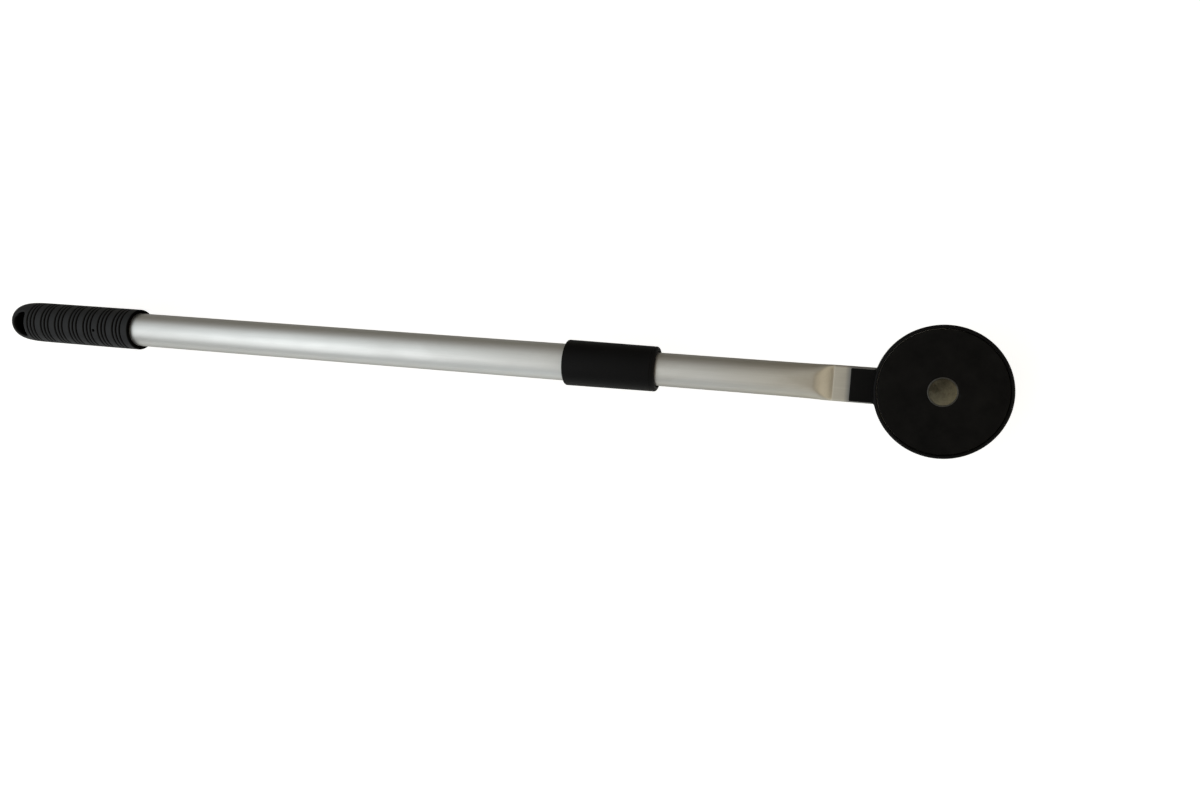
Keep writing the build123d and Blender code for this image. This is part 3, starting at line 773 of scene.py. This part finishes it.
def make_nut():
    """Hexagon nut, chamfered on both faces."""
    low, high = nut_low.z, nut_high.z
    flat = (nut_high.y - nut_low.y) / 2
    face = NUT_FACE_SHARE * flat
    blunt = flat * math.sqrt(4 / 3) - 0.12 * MM
    slope = math.tan(NUT_CHAMFER)
    steps = 144
    loops = []
    for step in range(steps + 1):
        angle = 2 * math.pi * step / steps
        local = (angle + math.pi / 6) % (math.pi / 3) - math.pi / 6
        rim = min(flat / math.cos(local), blunt)
        turn = angle + math.pi / 2
        fall = (rim - face) * slope
        section = [
            (low + 0.45 * MM, NUT_BORE),
            (low, NUT_BORE + 0.45 * MM),
            (low, face),
            (low + fall, rim - 0.02 * MM),
            (low + fall + 0.08 * MM, rim),
            (high - fall - 0.08 * MM, rim),
            (high - fall, rim - 0.02 * MM),
            (high, face),
            (high, NUT_BORE + 0.45 * MM),
            (high - 0.45 * MM, NUT_BORE),
        ]
        loops.append([about_head(z, r, turn) for z, r in section])
    return stacked("core_nut_skin", loops, closed_ends=False)


def make_arm_screw():
    """Cap screw that goes up into the arm, with its head inside the pole."""
    bottom, top = screw_low.z, screw_high.z
    seat = strip_low.z
    rim = (screw_high.x - screw_low.x) / 2
    corners = [
        (bottom, 0, 0),
        (bottom, rim, 0.35 * MM),
        (seat, rim, 0.1 * MM),
        (seat, SCREW_RADIUS, 0),
        (top, SCREW_RADIUS, 0.4 * MM),
        (top, 0, 0),
    ]
    screw = turned("arm_screw_skin", rounded(corners, 3), about_head, 64)
    hexagon = []
    for z, size in ((bottom - 0.2 * MM, 1.25), (bottom + 0.15 * MM, 1.0), (bottom + 1.4 * MM, 1.0)):
        radius = SOCKET_HALF_WIDTH / math.cos(math.pi / 6) * size
        hexagon.append([about_head(z, radius, math.pi / 3 * k) for k in range(6)])
    combine(screw, stacked("socket", hexagon), "DIFFERENCE")
    screw.data.transform(Matrix.Translation((screw_x, 0, 0)))
    return tidy(screw, 30)


# Materials

# Reach of the painted warm reflection towards the grip.
WARM_REFLECTION_REACH = 75 * MM
# Width of the painted shade band behind the arm.
ARM_SHADE_WIDTH = 3.2 * MM


class Graph:
    """Node tree with short helpers for building it up."""

    def __init__(self, tree, place):
        self.tree = tree
        self.place = tree.nodes.new("ShaderNodeTexCoord").outputs[place]

    def node(self, kind, **settings):
        made = self.tree.nodes.new(kind)
        for key, value in settings.items():
            setattr(made, key, value)
        return made

    def link(self, source, target):
        if isinstance(source, (int, float)):
            target.default_value = source
        elif isinstance(source, (tuple, list)):
            target.default_value = (*source, 1.0) if len(source) == 3 else source
        else:
            self.tree.links.new(source, target)

    def stretch(self, x=1.0, y=1.0, z=1.0, source=None):
        scale = self.node("ShaderNodeVectorMath", operation="MULTIPLY")
        self.link(source or self.place, scale.inputs[0])
        scale.inputs[1].default_value = (x, y, z)
        return scale.outputs[0]

    def noise(self, scale, detail=3.0, roughness=0.55, source=None, distortion=0.0):
        made = self.node("ShaderNodeTexNoise")
        made.inputs["Scale"].default_value = scale
        made.inputs["Detail"].default_value = detail
        made.inputs["Roughness"].default_value = roughness
        made.inputs["Distortion"].default_value = distortion
        self.link(source or self.place, made.inputs["Vector"])
        return made.outputs["Fac"]

    def cells(self, scale, source=None):
        made = self.node("ShaderNodeTexVoronoi")
        made.inputs["Scale"].default_value = scale
        self.link(source or self.place, made.inputs["Vector"])
        return made.outputs["Distance"]

    def span(self, source, low, high, out_low=0.0, out_high=1.0):
        made = self.node("ShaderNodeMapRange")
        self.link(source, made.inputs["Value"])
        made.inputs["From Min"].default_value = low
        made.inputs["From Max"].default_value = high
        made.inputs["To Min"].default_value = out_low
        made.inputs["To Max"].default_value = out_high
        return made.outputs["Result"]

    def math(self, operation, first, second=0.0):
        made = self.node("ShaderNodeMath", operation=operation)
        self.link(first, made.inputs[0])
        self.link(second, made.inputs[1])
        return made.outputs[0]

    def mix(self, factor, first, second):
        """Two colours mixed: the node's colour sockets are inputs 6 and 7 and output 2."""
        made = self.node("ShaderNodeMix", data_type="RGBA")
        self.link(factor, made.inputs["Factor"])
        self.link(first, made.inputs[6])
        self.link(second, made.inputs[7])
        return made.outputs[2]

    def blend(self, operation, first, second):
        """Two colours added or multiplied."""
        made = self.node("ShaderNodeVectorMath", operation=operation)
        self.link(first, made.inputs[0])
        self.link(second, made.inputs[1])
        return made.outputs[0]

    def bump(self, height, distance, strength=1.0, normal=None):
        made = self.node("ShaderNodeBump")
        made.inputs["Strength"].default_value = strength
        made.inputs["Distance"].default_value = distance
        self.link(height, made.inputs["Height"])
        if normal is not None:
            self.link(normal, made.inputs["Normal"])
        return made.outputs["Normal"]

    def axes(self):
        """The x, y and z of the place."""
        split = self.node("ShaderNodeSeparateXYZ")
        self.link(self.place, split.inputs[0])
        return split.outputs[0], split.outputs[1], split.outputs[2]


class Finish(Graph):
    """Surface material on the object's own coordinates."""

    def __init__(self, name):
        self.material = bpy.data.materials.new(name)
        self.material.use_nodes = True
        super().__init__(self.material.node_tree, "Object")
        self.shader = next(n for n in self.tree.nodes if n.type == "BSDF_PRINCIPLED")

    def facing(self, blend=0.5):
        made = self.node("ShaderNodeLayerWeight")
        made.inputs["Blend"].default_value = blend
        return made.outputs["Facing"]

    def edges(self, low, high):
        """Convex edges, from the mesh's pointiness."""
        return self.span(self.node("ShaderNodeNewGeometry").outputs["Pointiness"], low, high)

    def set(self, **inputs):
        for key, value in inputs.items():
            self.link(value, self.shader.inputs[key.replace("_", " ")])
        return self.material


def anodised(name, base, edge, dull, roughness):
    """Satin anodised tube: fine draw lines, faint handling smears and painted shade at grazing angles."""
    f = Finish(name)
    lines = f.noise(1.0, 4.0, 0.6, f.stretch(14, 2600, 2600))
    fine = f.noise(1.0, 2.0, 0.5, f.stretch(60, 9000, 9000))
    smear = f.noise(22.0, 5.0, 0.62, f.stretch(0.55, 1.6, 1.6), 0.6)
    speck = f.noise(5200.0, 2.0, 0.6)
    tint = f.mix(f.span(smear, 0.42, 0.68), base, dull)
    tint = f.mix(f.math("MULTIPLY", f.span(lines, 0.35, 0.75), 0.16), tint, edge)
    # Painted shade: the tone darkens where the surface is seen at a grazing angle, for the dark floor the
    # tube reflects there. The same dark tone also colours the draw lines above.
    tint = f.mix(f.math("POWER", f.facing(0.5), 1.6), tint, edge)
    rough = f.math("ADD", f.span(smear, 0.3, 0.75, roughness - 0.03, roughness + 0.07),
                   f.span(lines, 0.3, 0.7, -0.03, 0.03))
    height = f.math("ADD", f.math("MULTIPLY", lines, 0.7), f.math("MULTIPLY", fine, 0.3))
    normal = f.bump(height, 0.00002, 0.35)
    normal = f.bump(speck, 0.000012, 0.35, normal)
    return f, tint, rough, normal


def outer_aluminium():
    f, tint, rough, normal = anodised(
        "outer_aluminium", (0.86, 0.865, 0.86), (0.50, 0.49, 0.47), (0.80, 0.805, 0.80), 0.40
    )
    scratch = f.noise(1.0, 1.0, 0.4, f.stretch(30, 700, 700), 1.4)
    thin = f.math("SUBTRACT", 1.0, f.span(f.math("ABSOLUTE", f.math("SUBTRACT", scratch, 0.5)), 0, 0.006))
    sparse = f.span(f.noise(38.0, 2.0), 0.60, 0.66)
    marks = f.math("MULTIPLY", thin, sparse)
    tint = f.mix(f.math("MULTIPLY", marks, 0.35), tint, (0.95, 0.95, 0.95))
    return f.set(Base_Color=tint, Metallic=0.92, Roughness=rough, Normal=normal)


def inner_aluminium():
    f, tint, rough, normal = anodised(
        "inner_aluminium", (0.70, 0.685, 0.655), (0.40, 0.385, 0.355), (0.63, 0.61, 0.57), 0.42
    )
    slide = f.noise(1.0, 3.0, 0.65, f.stretch(5, 900, 900), 0.3)
    drag = f.span(slide, 0.60, 0.72)
    tint = f.mix(f.math("MULTIPLY", drag, 0.18), tint, (0.86, 0.85, 0.83))
    x, _, z = f.axes()
    # Painted highlight: a light line along the crease.
    crease = f.math("ABSOLUTE", f.math("SUBTRACT", x, CREASE_X))
    crease_highlight = f.span(crease, 0.0, 1.1 * MM, 1.0, 0.0)
    tint = f.mix(f.math("MULTIPLY", crease_highlight, 0.55), tint, (0.88, 0.86, 0.82))
    # Painted reflection: the tube is tinted warmer towards the head, for a warm reflection seen on its
    # pressed end.
    painted_warmth_near_head = f.span(x, CREASE_X - WARM_REFLECTION_REACH, CREASE_X - 10 * MM)
    tint = f.blend("MULTIPLY", tint, f.mix(painted_warmth_near_head, (1, 1, 1), (1.0, 0.965, 0.89)))
    # Painted shade: a dark band on top of the flat, just behind the arm's rear end, where the arm shades
    # the tube.
    on_top = f.span(z, axis_z + 2 * MM, axis_z + 4 * MM)
    at_arm = f.span(x, housing_low.x - ARM_SHADE_WIDTH, housing_low.x)
    painted_arm_shade = f.math("MULTIPLY", f.math("MULTIPLY", on_top, at_arm), 0.75)
    tint = f.mix(painted_arm_shade, tint, (0.20, 0.20, 0.21))
    return f.set(Base_Color=tint, Metallic=0.9, Roughness=rough, Normal=normal)


def groove_shade(f):
    """Mask of painted shade in the grip's grooves and on the face of its mouth, from the place along the
    pole.
    """
    x = f.axes()[0]
    half_three = GROOVES_PER_BAND / 2 * GROOVE_PITCH
    middle_x = grip_high.x - GROOVE_FROM_MOUTH + GROOVE_PITCH / 2 - half_three
    along = f.math("MODULO", f.math("SUBTRACT", middle_x + BAND_PITCH / 2, x), BAND_PITCH)
    place = f.math("SUBTRACT", along, BAND_PITCH / 2)
    in_three = f.math("LESS_THAN", f.math("ABSOLUTE", place), half_three)
    pitch = f.math("MODULO", f.math("ADD", place, half_three), GROOVE_PITCH)
    off = f.math("ABSOLUTE", f.math("SUBTRACT", pitch, GROOVE_PITCH / 2))
    dark = f.span(off, 0.45 * GROOVE_HALF_WIDTH, 0.95 * GROOVE_HALF_WIDTH, 1.0, 0.0)
    dark = f.math("MULTIPLY", dark, in_three)
    behind_dome = f.math("GREATER_THAN", x, min(groove_centres()) - GROOVE_HALF_WIDTH)
    dark = f.math("MULTIPLY", dark, behind_dome)
    return f.math("MAXIMUM", dark, f.span(x, grip_high.x - 0.9 * MM, grip_high.x - 0.3 * MM))


def eye_shade(f):
    """Mask of painted shade on the walls of the grip's eye, which stand upright to its opening."""
    x, y, z = f.axes()
    upright = f.node("ShaderNodeVectorMath", operation="DOT_PRODUCT")
    f.link(f.node("ShaderNodeTexCoord").outputs["Normal"], upright.inputs[0])
    upright.inputs[1].default_value = (0, -math.sin(GRIP_TURN), math.cos(GRIP_TURN))
    wall = f.span(f.math("ABSOLUTE", upright.outputs["Value"]), 0.15, 0.45, 1.0, 0.0)
    across = f.math("MULTIPLY", y, math.cos(GRIP_TURN))
    rise = f.math("MULTIPLY", f.math("SUBTRACT", z, axis_z), math.sin(GRIP_TURN))
    side = f.math("ABSOLUTE", f.math("ADD", across, rise))
    wall = f.math("MULTIPLY", wall, f.math("LESS_THAN", side, EYE_HALF_WIDTH + 0.2 * MM))
    flat_x = grip_low.x + EYE_FLAT_FROM_TIP
    wall = f.math("MULTIPLY", wall, f.math("LESS_THAN", x, flat_x + 0.3 * MM))
    return f.math("MULTIPLY", wall, f.math("GREATER_THAN", x, flat_x - EYE_LENGTH - 0.3 * MM))


def grip_rubber():
    """Matt moulded rubber with handling shine on the ribs, and painted shade in the grooves, the eye and
    the mouth's face.
    """
    f = Finish("grip_rubber")
    grain = f.noise(2600.0, 3.0, 0.6)
    pore = f.cells(1500.0)
    worn = f.noise(60.0, 4.0, 0.6)
    ridge = f.edges(0.49, 0.56)
    # Painted shade: concave places, the grooves, the mouth's face and the eye's walls are darkened and
    # lose their shine.
    painted_hollow_shade = f.math("MAXIMUM", f.edges(0.495, 0.44), groove_shade(f))
    painted_hollow_shade = f.math("MAXIMUM", painted_hollow_shade, eye_shade(f))
    tint = f.mix(f.span(worn, 0.35, 0.7), (0.0125, 0.0135, 0.0160), (0.0165, 0.0175, 0.0205))
    tint = f.mix(f.math("MULTIPLY", ridge, 0.35), tint, (0.026, 0.027, 0.029))
    tint = f.mix(painted_hollow_shade, tint, (0.0015, 0.0013, 0.0012))
    rough = f.span(worn, 0.3, 0.7, 0.48, 0.60)
    gloss = f.span(painted_hollow_shade, 0.0, 1.0, 0.22, 0.01)
    height = f.math("ADD", f.math("MULTIPLY", grain, 0.7), f.math("MULTIPLY", pore, 0.3))
    normal = f.bump(height, 0.00007, 0.5)
    return f.set(Base_Color=tint, Roughness=rough, Normal=normal, Specular_IOR_Level=gloss)


def moulded_black(name, tint_low, tint_high, roughness, grain_scale, depth, specular):
    """Black moulded plastic with a fine spark-eroded grain."""
    f = Finish(name)
    grain = f.noise(grain_scale, 4.0, 0.65)
    cloud = f.noise(45.0, 4.0, 0.6)
    scuff = f.noise(1.0, 2.0, 0.5, f.stretch(500, 90, 500), 1.0)
    ridge = f.edges(0.505, 0.60)
    tint = f.mix(f.span(cloud, 0.35, 0.7), tint_low, tint_high)
    worn = tuple(3 * value for value in tint_high)
    tint = f.mix(f.math("MULTIPLY", ridge, 0.35), tint, worn)
    rough = f.math("ADD", f.span(cloud, 0.3, 0.7, roughness - 0.04, roughness + 0.05),
                   f.span(scuff, 0.62, 0.7, 0.0, -0.06))
    normal = f.bump(grain, depth, 0.55)
    return f.set(Base_Color=tint, Roughness=rough, Normal=normal, Specular_IOR_Level=specular)


def ferrite():
    """Pressed ferrite: near black, ground face with faint arcs and fine pits."""
    f = Finish("ferrite")
    grain = f.noise(3200.0, 4.0, 0.7)
    cloud = f.noise(70.0, 5.0, 0.62)
    grind = f.noise(1.0, 2.0, 0.5, f.stretch(60, 2600, 60))
    pits = f.span(f.cells(900.0), 0.0, 0.16, 1.0, 0.0)
    rare = f.span(f.noise(240.0, 2.0), 0.55, 0.62)
    pit = f.math("MULTIPLY", pits, rare)
    ridge = f.edges(0.51, 0.6)
    tint = f.mix(f.span(cloud, 0.35, 0.7), (0.0026, 0.0024, 0.0023), (0.0062, 0.0056, 0.0050))
    tint = f.mix(f.math("MULTIPLY", ridge, 0.4), tint, (0.02, 0.017, 0.014))
    tint = f.mix(pit, tint, (0.002, 0.002, 0.002))
    height = f.math("ADD", f.math("MULTIPLY", grain, 0.6), f.math("MULTIPLY", grind, 0.4))
    height = f.math("SUBTRACT", height, pit)
    normal = f.bump(height, 0.00006, 0.6)
    rough = f.span(cloud, 0.3, 0.7, 0.38, 0.54)
    return f.set(Base_Color=tint, Roughness=rough, Normal=normal, Specular_IOR_Level=0.09)


def core_steel():
    """Turned steel face, mottled by handling and light rust, with painted shade on one side."""
    f = Finish("core_steel")
    x, y, _ = f.axes()
    radius = f.math("SQRT", f.math("ADD", f.math("POWER", x, 2.0), f.math("POWER", y, 2.0)))
    rings = f.math("SINE", f.math("MULTIPLY", radius, 26000.0))
    blotch = f.noise(260.0, 6.0, 0.66, None, 0.5)
    fine = f.noise(1500.0, 4.0, 0.7)
    rust = f.span(f.noise(420.0, 6.0, 0.7), 0.54, 0.70)
    # Lighter towards +X and -Y. This is partly wear, and partly painted shade on the side towards -X and
    # +Y.
    worn_and_shaded_side = f.span(f.math("SUBTRACT", x, y), -5 * MM, 9 * MM)
    patchy = f.math("ADD", f.span(blotch, 0.66, 0.34, 0.0, 0.35), f.math("MULTIPLY", worn_and_shaded_side, 0.7))
    tint = f.mix(patchy, (0.018, 0.014, 0.006), (0.225, 0.205, 0.140))
    tint = f.mix(f.math("MULTIPLY", rust, 0.5), tint, (0.075, 0.042, 0.018))
    tint = f.mix(f.math("MULTIPLY", f.span(fine, 0.5, 0.75), 0.18), tint, (0.28, 0.25, 0.19))
    rough = f.span(blotch, 0.3, 0.7, 0.36, 0.56)
    height = f.math("ADD", f.math("MULTIPLY", rings, 0.25), fine)
    normal = f.bump(height, 0.00003, 0.45)
    return f.set(Base_Color=tint, Metallic=0.82, Roughness=rough, Normal=normal)


def plated(name, base, dark, roughness, metallic=1.0):
    """Plated or oxidised steel with a faint crystalline mottle and worn edges."""
    f = Finish(name)
    mottle = f.cells(900.0)
    cloud = f.noise(300.0, 5.0, 0.6)
    fine = f.noise(4000.0, 2.0, 0.6)
    ridge = f.edges(0.52, 0.62)
    tint = f.mix(f.span(cloud, 0.35, 0.68), base, dark)
    tint = f.mix(f.math("MULTIPLY", f.span(mottle, 0.1, 0.6), 0.18), tint, dark)
    bright = tuple(min(1.0, 1.25 * value) for value in base)
    tint = f.mix(f.math("MULTIPLY", ridge, 0.5), tint, bright)
    rough = f.span(cloud, 0.3, 0.7, roughness - 0.06, roughness + 0.08)
    normal = f.bump(fine, 0.00002, 0.4)
    return f.set(Base_Color=tint, Metallic=metallic, Roughness=rough, Normal=normal)


def nylon():
    """Natural nylon, a little cloudy."""
    f = Finish("nylon")
    cloud = f.noise(160.0, 4.0, 0.6)
    grain = f.noise(2400.0, 3.0, 0.6)
    tint = f.mix(f.span(cloud, 0.35, 0.7), (0.70, 0.68, 0.61), (0.60, 0.575, 0.50))
    rough = f.span(cloud, 0.3, 0.7, 0.38, 0.5)
    f.shader.inputs["Subsurface Weight"].default_value = 0.15
    f.shader.inputs["Subsurface Radius"].default_value = (0.002, 0.0016, 0.0012)
    return f.set(Base_Color=tint, Roughness=rough, Normal=f.bump(grain, 0.00004, 0.4))


# Pieces on their bodies

finishes = {
    "outer_aluminium": outer_aluminium(),
    "inner_aluminium": inner_aluminium(),
    "grip_rubber": grip_rubber(),
    "collar_plastic": moulded_black(
        "collar_plastic", (0.0020, 0.0018, 0.0020), (0.0034, 0.0032, 0.0034), 0.50, 2200.0, 0.00008, 0.11
    ),
    "housing_plastic": moulded_black(
        "housing_plastic", (0.0018, 0.0017, 0.0018), (0.0032, 0.0030, 0.0030), 0.40, 1700.0, 0.00006, 0.11
    ),
    "bush_plastic": moulded_black(
        "bush_plastic", (0.03, 0.03, 0.032), (0.045, 0.045, 0.047), 0.45, 1500.0, 0.00005, 0.5
    ),
    "soft_rubber": moulded_black(
        "soft_rubber", (0.006, 0.006, 0.006), (0.009, 0.009, 0.009), 0.62, 2600.0, 0.00008, 0.3
    ),
    "ferrite": ferrite(),
    "core_steel": core_steel(),
    "sleeve_metal": plated("sleeve_metal", (0.14, 0.138, 0.13), (0.08, 0.078, 0.07), 0.34),
    "zinc_steel": plated("zinc_steel", (0.66, 0.66, 0.64), (0.48, 0.48, 0.46), 0.34),
    "black_steel": plated("black_steel", (0.022, 0.022, 0.024), (0.012, 0.012, 0.013), 0.42, 0.6),
    "brass": plated("brass", (0.62, 0.44, 0.19), (0.45, 0.31, 0.13), 0.36),
    "nylon": nylon(),
}

pieces = [
    (make_grip, "handle", "grip_rubber", "handgrip"),
    (make_outer_tube, "handle", "outer_aluminium", "outer_tube"),
    (make_inner_tube, "pole", "inner_aluminium", "inner_tube"),
    (make_collar, "collar", "collar_plastic", "lock_collar"),
    (make_housing, "pole", "housing_plastic", "head_housing"),
    (make_magnet, "pole", "ferrite", "ring_magnet"),
    (make_core, "pole", "core_steel", "magnet_core"),
    (make_core_sleeve, "pole", "sleeve_metal", "core_sleeve"),
    (make_washer, "pole", "zinc_steel", "core_washer"),
    (make_spring_washer, "pole", "zinc_steel", "core_spring_washer"),
    (make_nut, "pole", "zinc_steel", "core_nut"),
    (make_arm_screw, "pole", "black_steel", "arm_screw"),
]
for make, body, slot, node in pieces:
    piece = make()
    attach(piece, body)
    dress(piece, slot)
    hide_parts(node)

slots = {part["node"]: part["material_slot"] for part in frame["record"]["subparts"]}
for node, obj in frame["nodes"].items():
    if not obj.hide_render:
        dress(obj, slots[node])


# Stage

FLOOR_SIZE = 14.0
FLOOR_GAP = 0.5 * MM
CAMERA_PLACE = Vector((-0.0527, 0.0260, 0.5904))
CAMERA_AIM = Vector((-0.2142, -0.0229, -0.0170))
CAMERA_UP = Vector((-0.0829, 0.9949, -0.0580))
CAMERA_LENS = 28.2
FLOOR_LIFT = 0.72
FLOOR_LIGHT_SIDE = (0.92, 0.95, 0.96)
FLOOR_DIM_SIDE = (0.215, 0.195, 0.16)
FLOOR_GLOW = 0.18
FLOOR_SPAN = (-0.15, 0.12)
BACKDROP = (1.0, 1.0, 1.0)
COOL_SIDE = (0.56, 0.59, 0.60)
WARM_SIDE = (0.22, 0.207, 0.185)
SIDE_SPAN = (-1.0, -0.5)
KEY_COLOUR = (0.92, 1.0, 1.03)
KEY_TILT = 0.03
KEY_SPAN = (0.32, 0.93)
KEY_REACH = (-0.34, -0.03)
KEY_FALLOFF = 0.98
FAR_LIFT = 0.15
FAR_SPAN = (-0.56, -0.68)
END_GLOW = (0.66, 0.64, 0.55)
END_SPAN = (0.45, 0.78)
OVERHEAD_WARMTH = (1.0, 0.93, 0.82)
WARMTH_ALONG = (-0.3, 0.1)
WARMTH_HEIGHT = (0.2, 0.8)
SURROUND_STRENGTH = 1.0
SOFTBOX_OFFSET = (-0.9, -0.6, 1.3)
SOFTBOX_SIZE = (1.5, 1.3)
SOFTBOX_WATTS = 2.5
SENSOR_WIDTH = 36.0


def make_floor():
    """Plain pale floor, as low as the head reaches when it turns about the pole.

    The camera sees it pale and lit up. All other rays see a painted bright side at -Y that glows a
    little, and a painted dim, warm side at +Y that stands in for the tool's shadow.
    """
    half = FLOOR_SIZE / 2
    z = axis_z - math.hypot(head_radius, axis_z) - FLOOR_GAP
    corners = [(-half, -half, z), (half, -half, z), (half, half, z), (-half, half, z)]
    floor = mesh_object("floor", corners, [(0, 1, 2, 3)])
    f = Finish("floor")
    seen = f.node("ShaderNodeLightPath").outputs["Is Camera Ray"]
    pale = f.mix(f.span(f.noise(3.0), 0.3, 0.7), (0.68, 0.68, 0.67), (0.72, 0.72, 0.71))
    # Painted shade and light: for rays other than the camera's, the floor is dim and warm at +Y, where
    # the tool's shadow would fall, and bright with a faint glow at -Y.
    dim = f.span(f.axes()[1], *FLOOR_SPAN)
    tint = f.mix(seen, f.mix(dim, FLOOR_LIGHT_SIDE, FLOOR_DIM_SIDE), pale)
    glow = f.span(dim, 0.0, 1.0, FLOOR_GLOW, 0.0)
    lift = f.math("MAXIMUM", f.math("MULTIPLY", seen, FLOOR_LIFT), glow)
    floor.data.materials.append(
        f.set(Base_Color=tint, Roughness=0.95, Emission_Color=(1, 1, 1), Emission_Strength=lift)
    )


def make_surround():
    """Soft room light: bright overhead towards the grip, cool at -Y, warm and dim elsewhere.

    The camera sees the plain backdrop instead.
    """
    world = bpy.data.worlds.new("surround")
    world.use_nodes = True
    g = Graph(world.node_tree, "Generated")
    x, y, z = g.axes()
    room = g.mix(g.span(y, *SIDE_SPAN), COOL_SIDE, WARM_SIDE)
    height = g.math("ADD", g.math("MULTIPLY", y, KEY_TILT), z)
    far = g.span(x, *FAR_SPAN, 0.0, FAR_LIFT)
    across = g.span(g.math("ADD", height, far), *KEY_SPAN)
    along = g.math("POWER", g.span(x, *KEY_REACH, 1.0, 0.0), KEY_FALLOFF)
    shine = g.mix(g.math("MULTIPLY", across, along), (0, 0, 0), KEY_COLOUR)
    glow = g.mix(g.span(x, *END_SPAN), (0, 0, 0), END_GLOW)
    light = g.blend("ADD", g.blend("ADD", room, shine), glow)
    overhead = g.math("MULTIPLY", g.span(x, *WARMTH_ALONG), g.span(z, *WARMTH_HEIGHT))
    warmth = g.mix(overhead, (1, 1, 1), OVERHEAD_WARMTH)
    seen = g.node("ShaderNodeLightPath").outputs["Is Camera Ray"]
    sky = g.tree.nodes["Background"]
    g.link(g.mix(seen, g.blend("MULTIPLY", light, warmth), BACKDROP), sky.inputs["Color"])
    sky.inputs["Strength"].default_value = SURROUND_STRENGTH
    bpy.context.scene.world = world


def make_softbox():
    """Weak large softbox that gives the floor its soft shadow."""
    middle = (cad_low + cad_high) / 2
    place = middle + Vector(SOFTBOX_OFFSET)
    lamp = bpy.data.lights.new("softbox", "AREA")
    lamp.shape = "RECTANGLE"
    lamp.size, lamp.size_y = SOFTBOX_SIZE
    lamp.energy = SOFTBOX_WATTS
    obj = bpy.data.objects.new("softbox", lamp)
    obj.location = place
    obj.rotation_mode = "QUATERNION"
    obj.rotation_quaternion = (middle - place).to_track_quat("-Z", "Y")
    bpy.context.scene.collection.objects.link(obj)


def make_camera():
    """Camera above the tool, nearer to the head, as it was seen."""
    lens = bpy.data.cameras.new("camera")
    lens.lens = CAMERA_LENS
    lens.sensor_width = SENSOR_WIDTH
    lens.clip_start = 0.01
    camera = bpy.data.objects.new("camera", lens)
    back = (CAMERA_PLACE - CAMERA_AIM).normalized()
    right = CAMERA_UP.cross(back).normalized()
    up = back.cross(right)
    turn = Matrix((right, up, back)).transposed().to_4x4()
    camera.matrix_world = Matrix.Translation(CAMERA_PLACE) @ turn
    bpy.context.scene.collection.objects.link(camera)
    bpy.context.scene.camera = camera


make_floor()
make_surround()
make_softbox()
make_camera()
bpy.context.scene.view_settings.view_transform = "Standard"
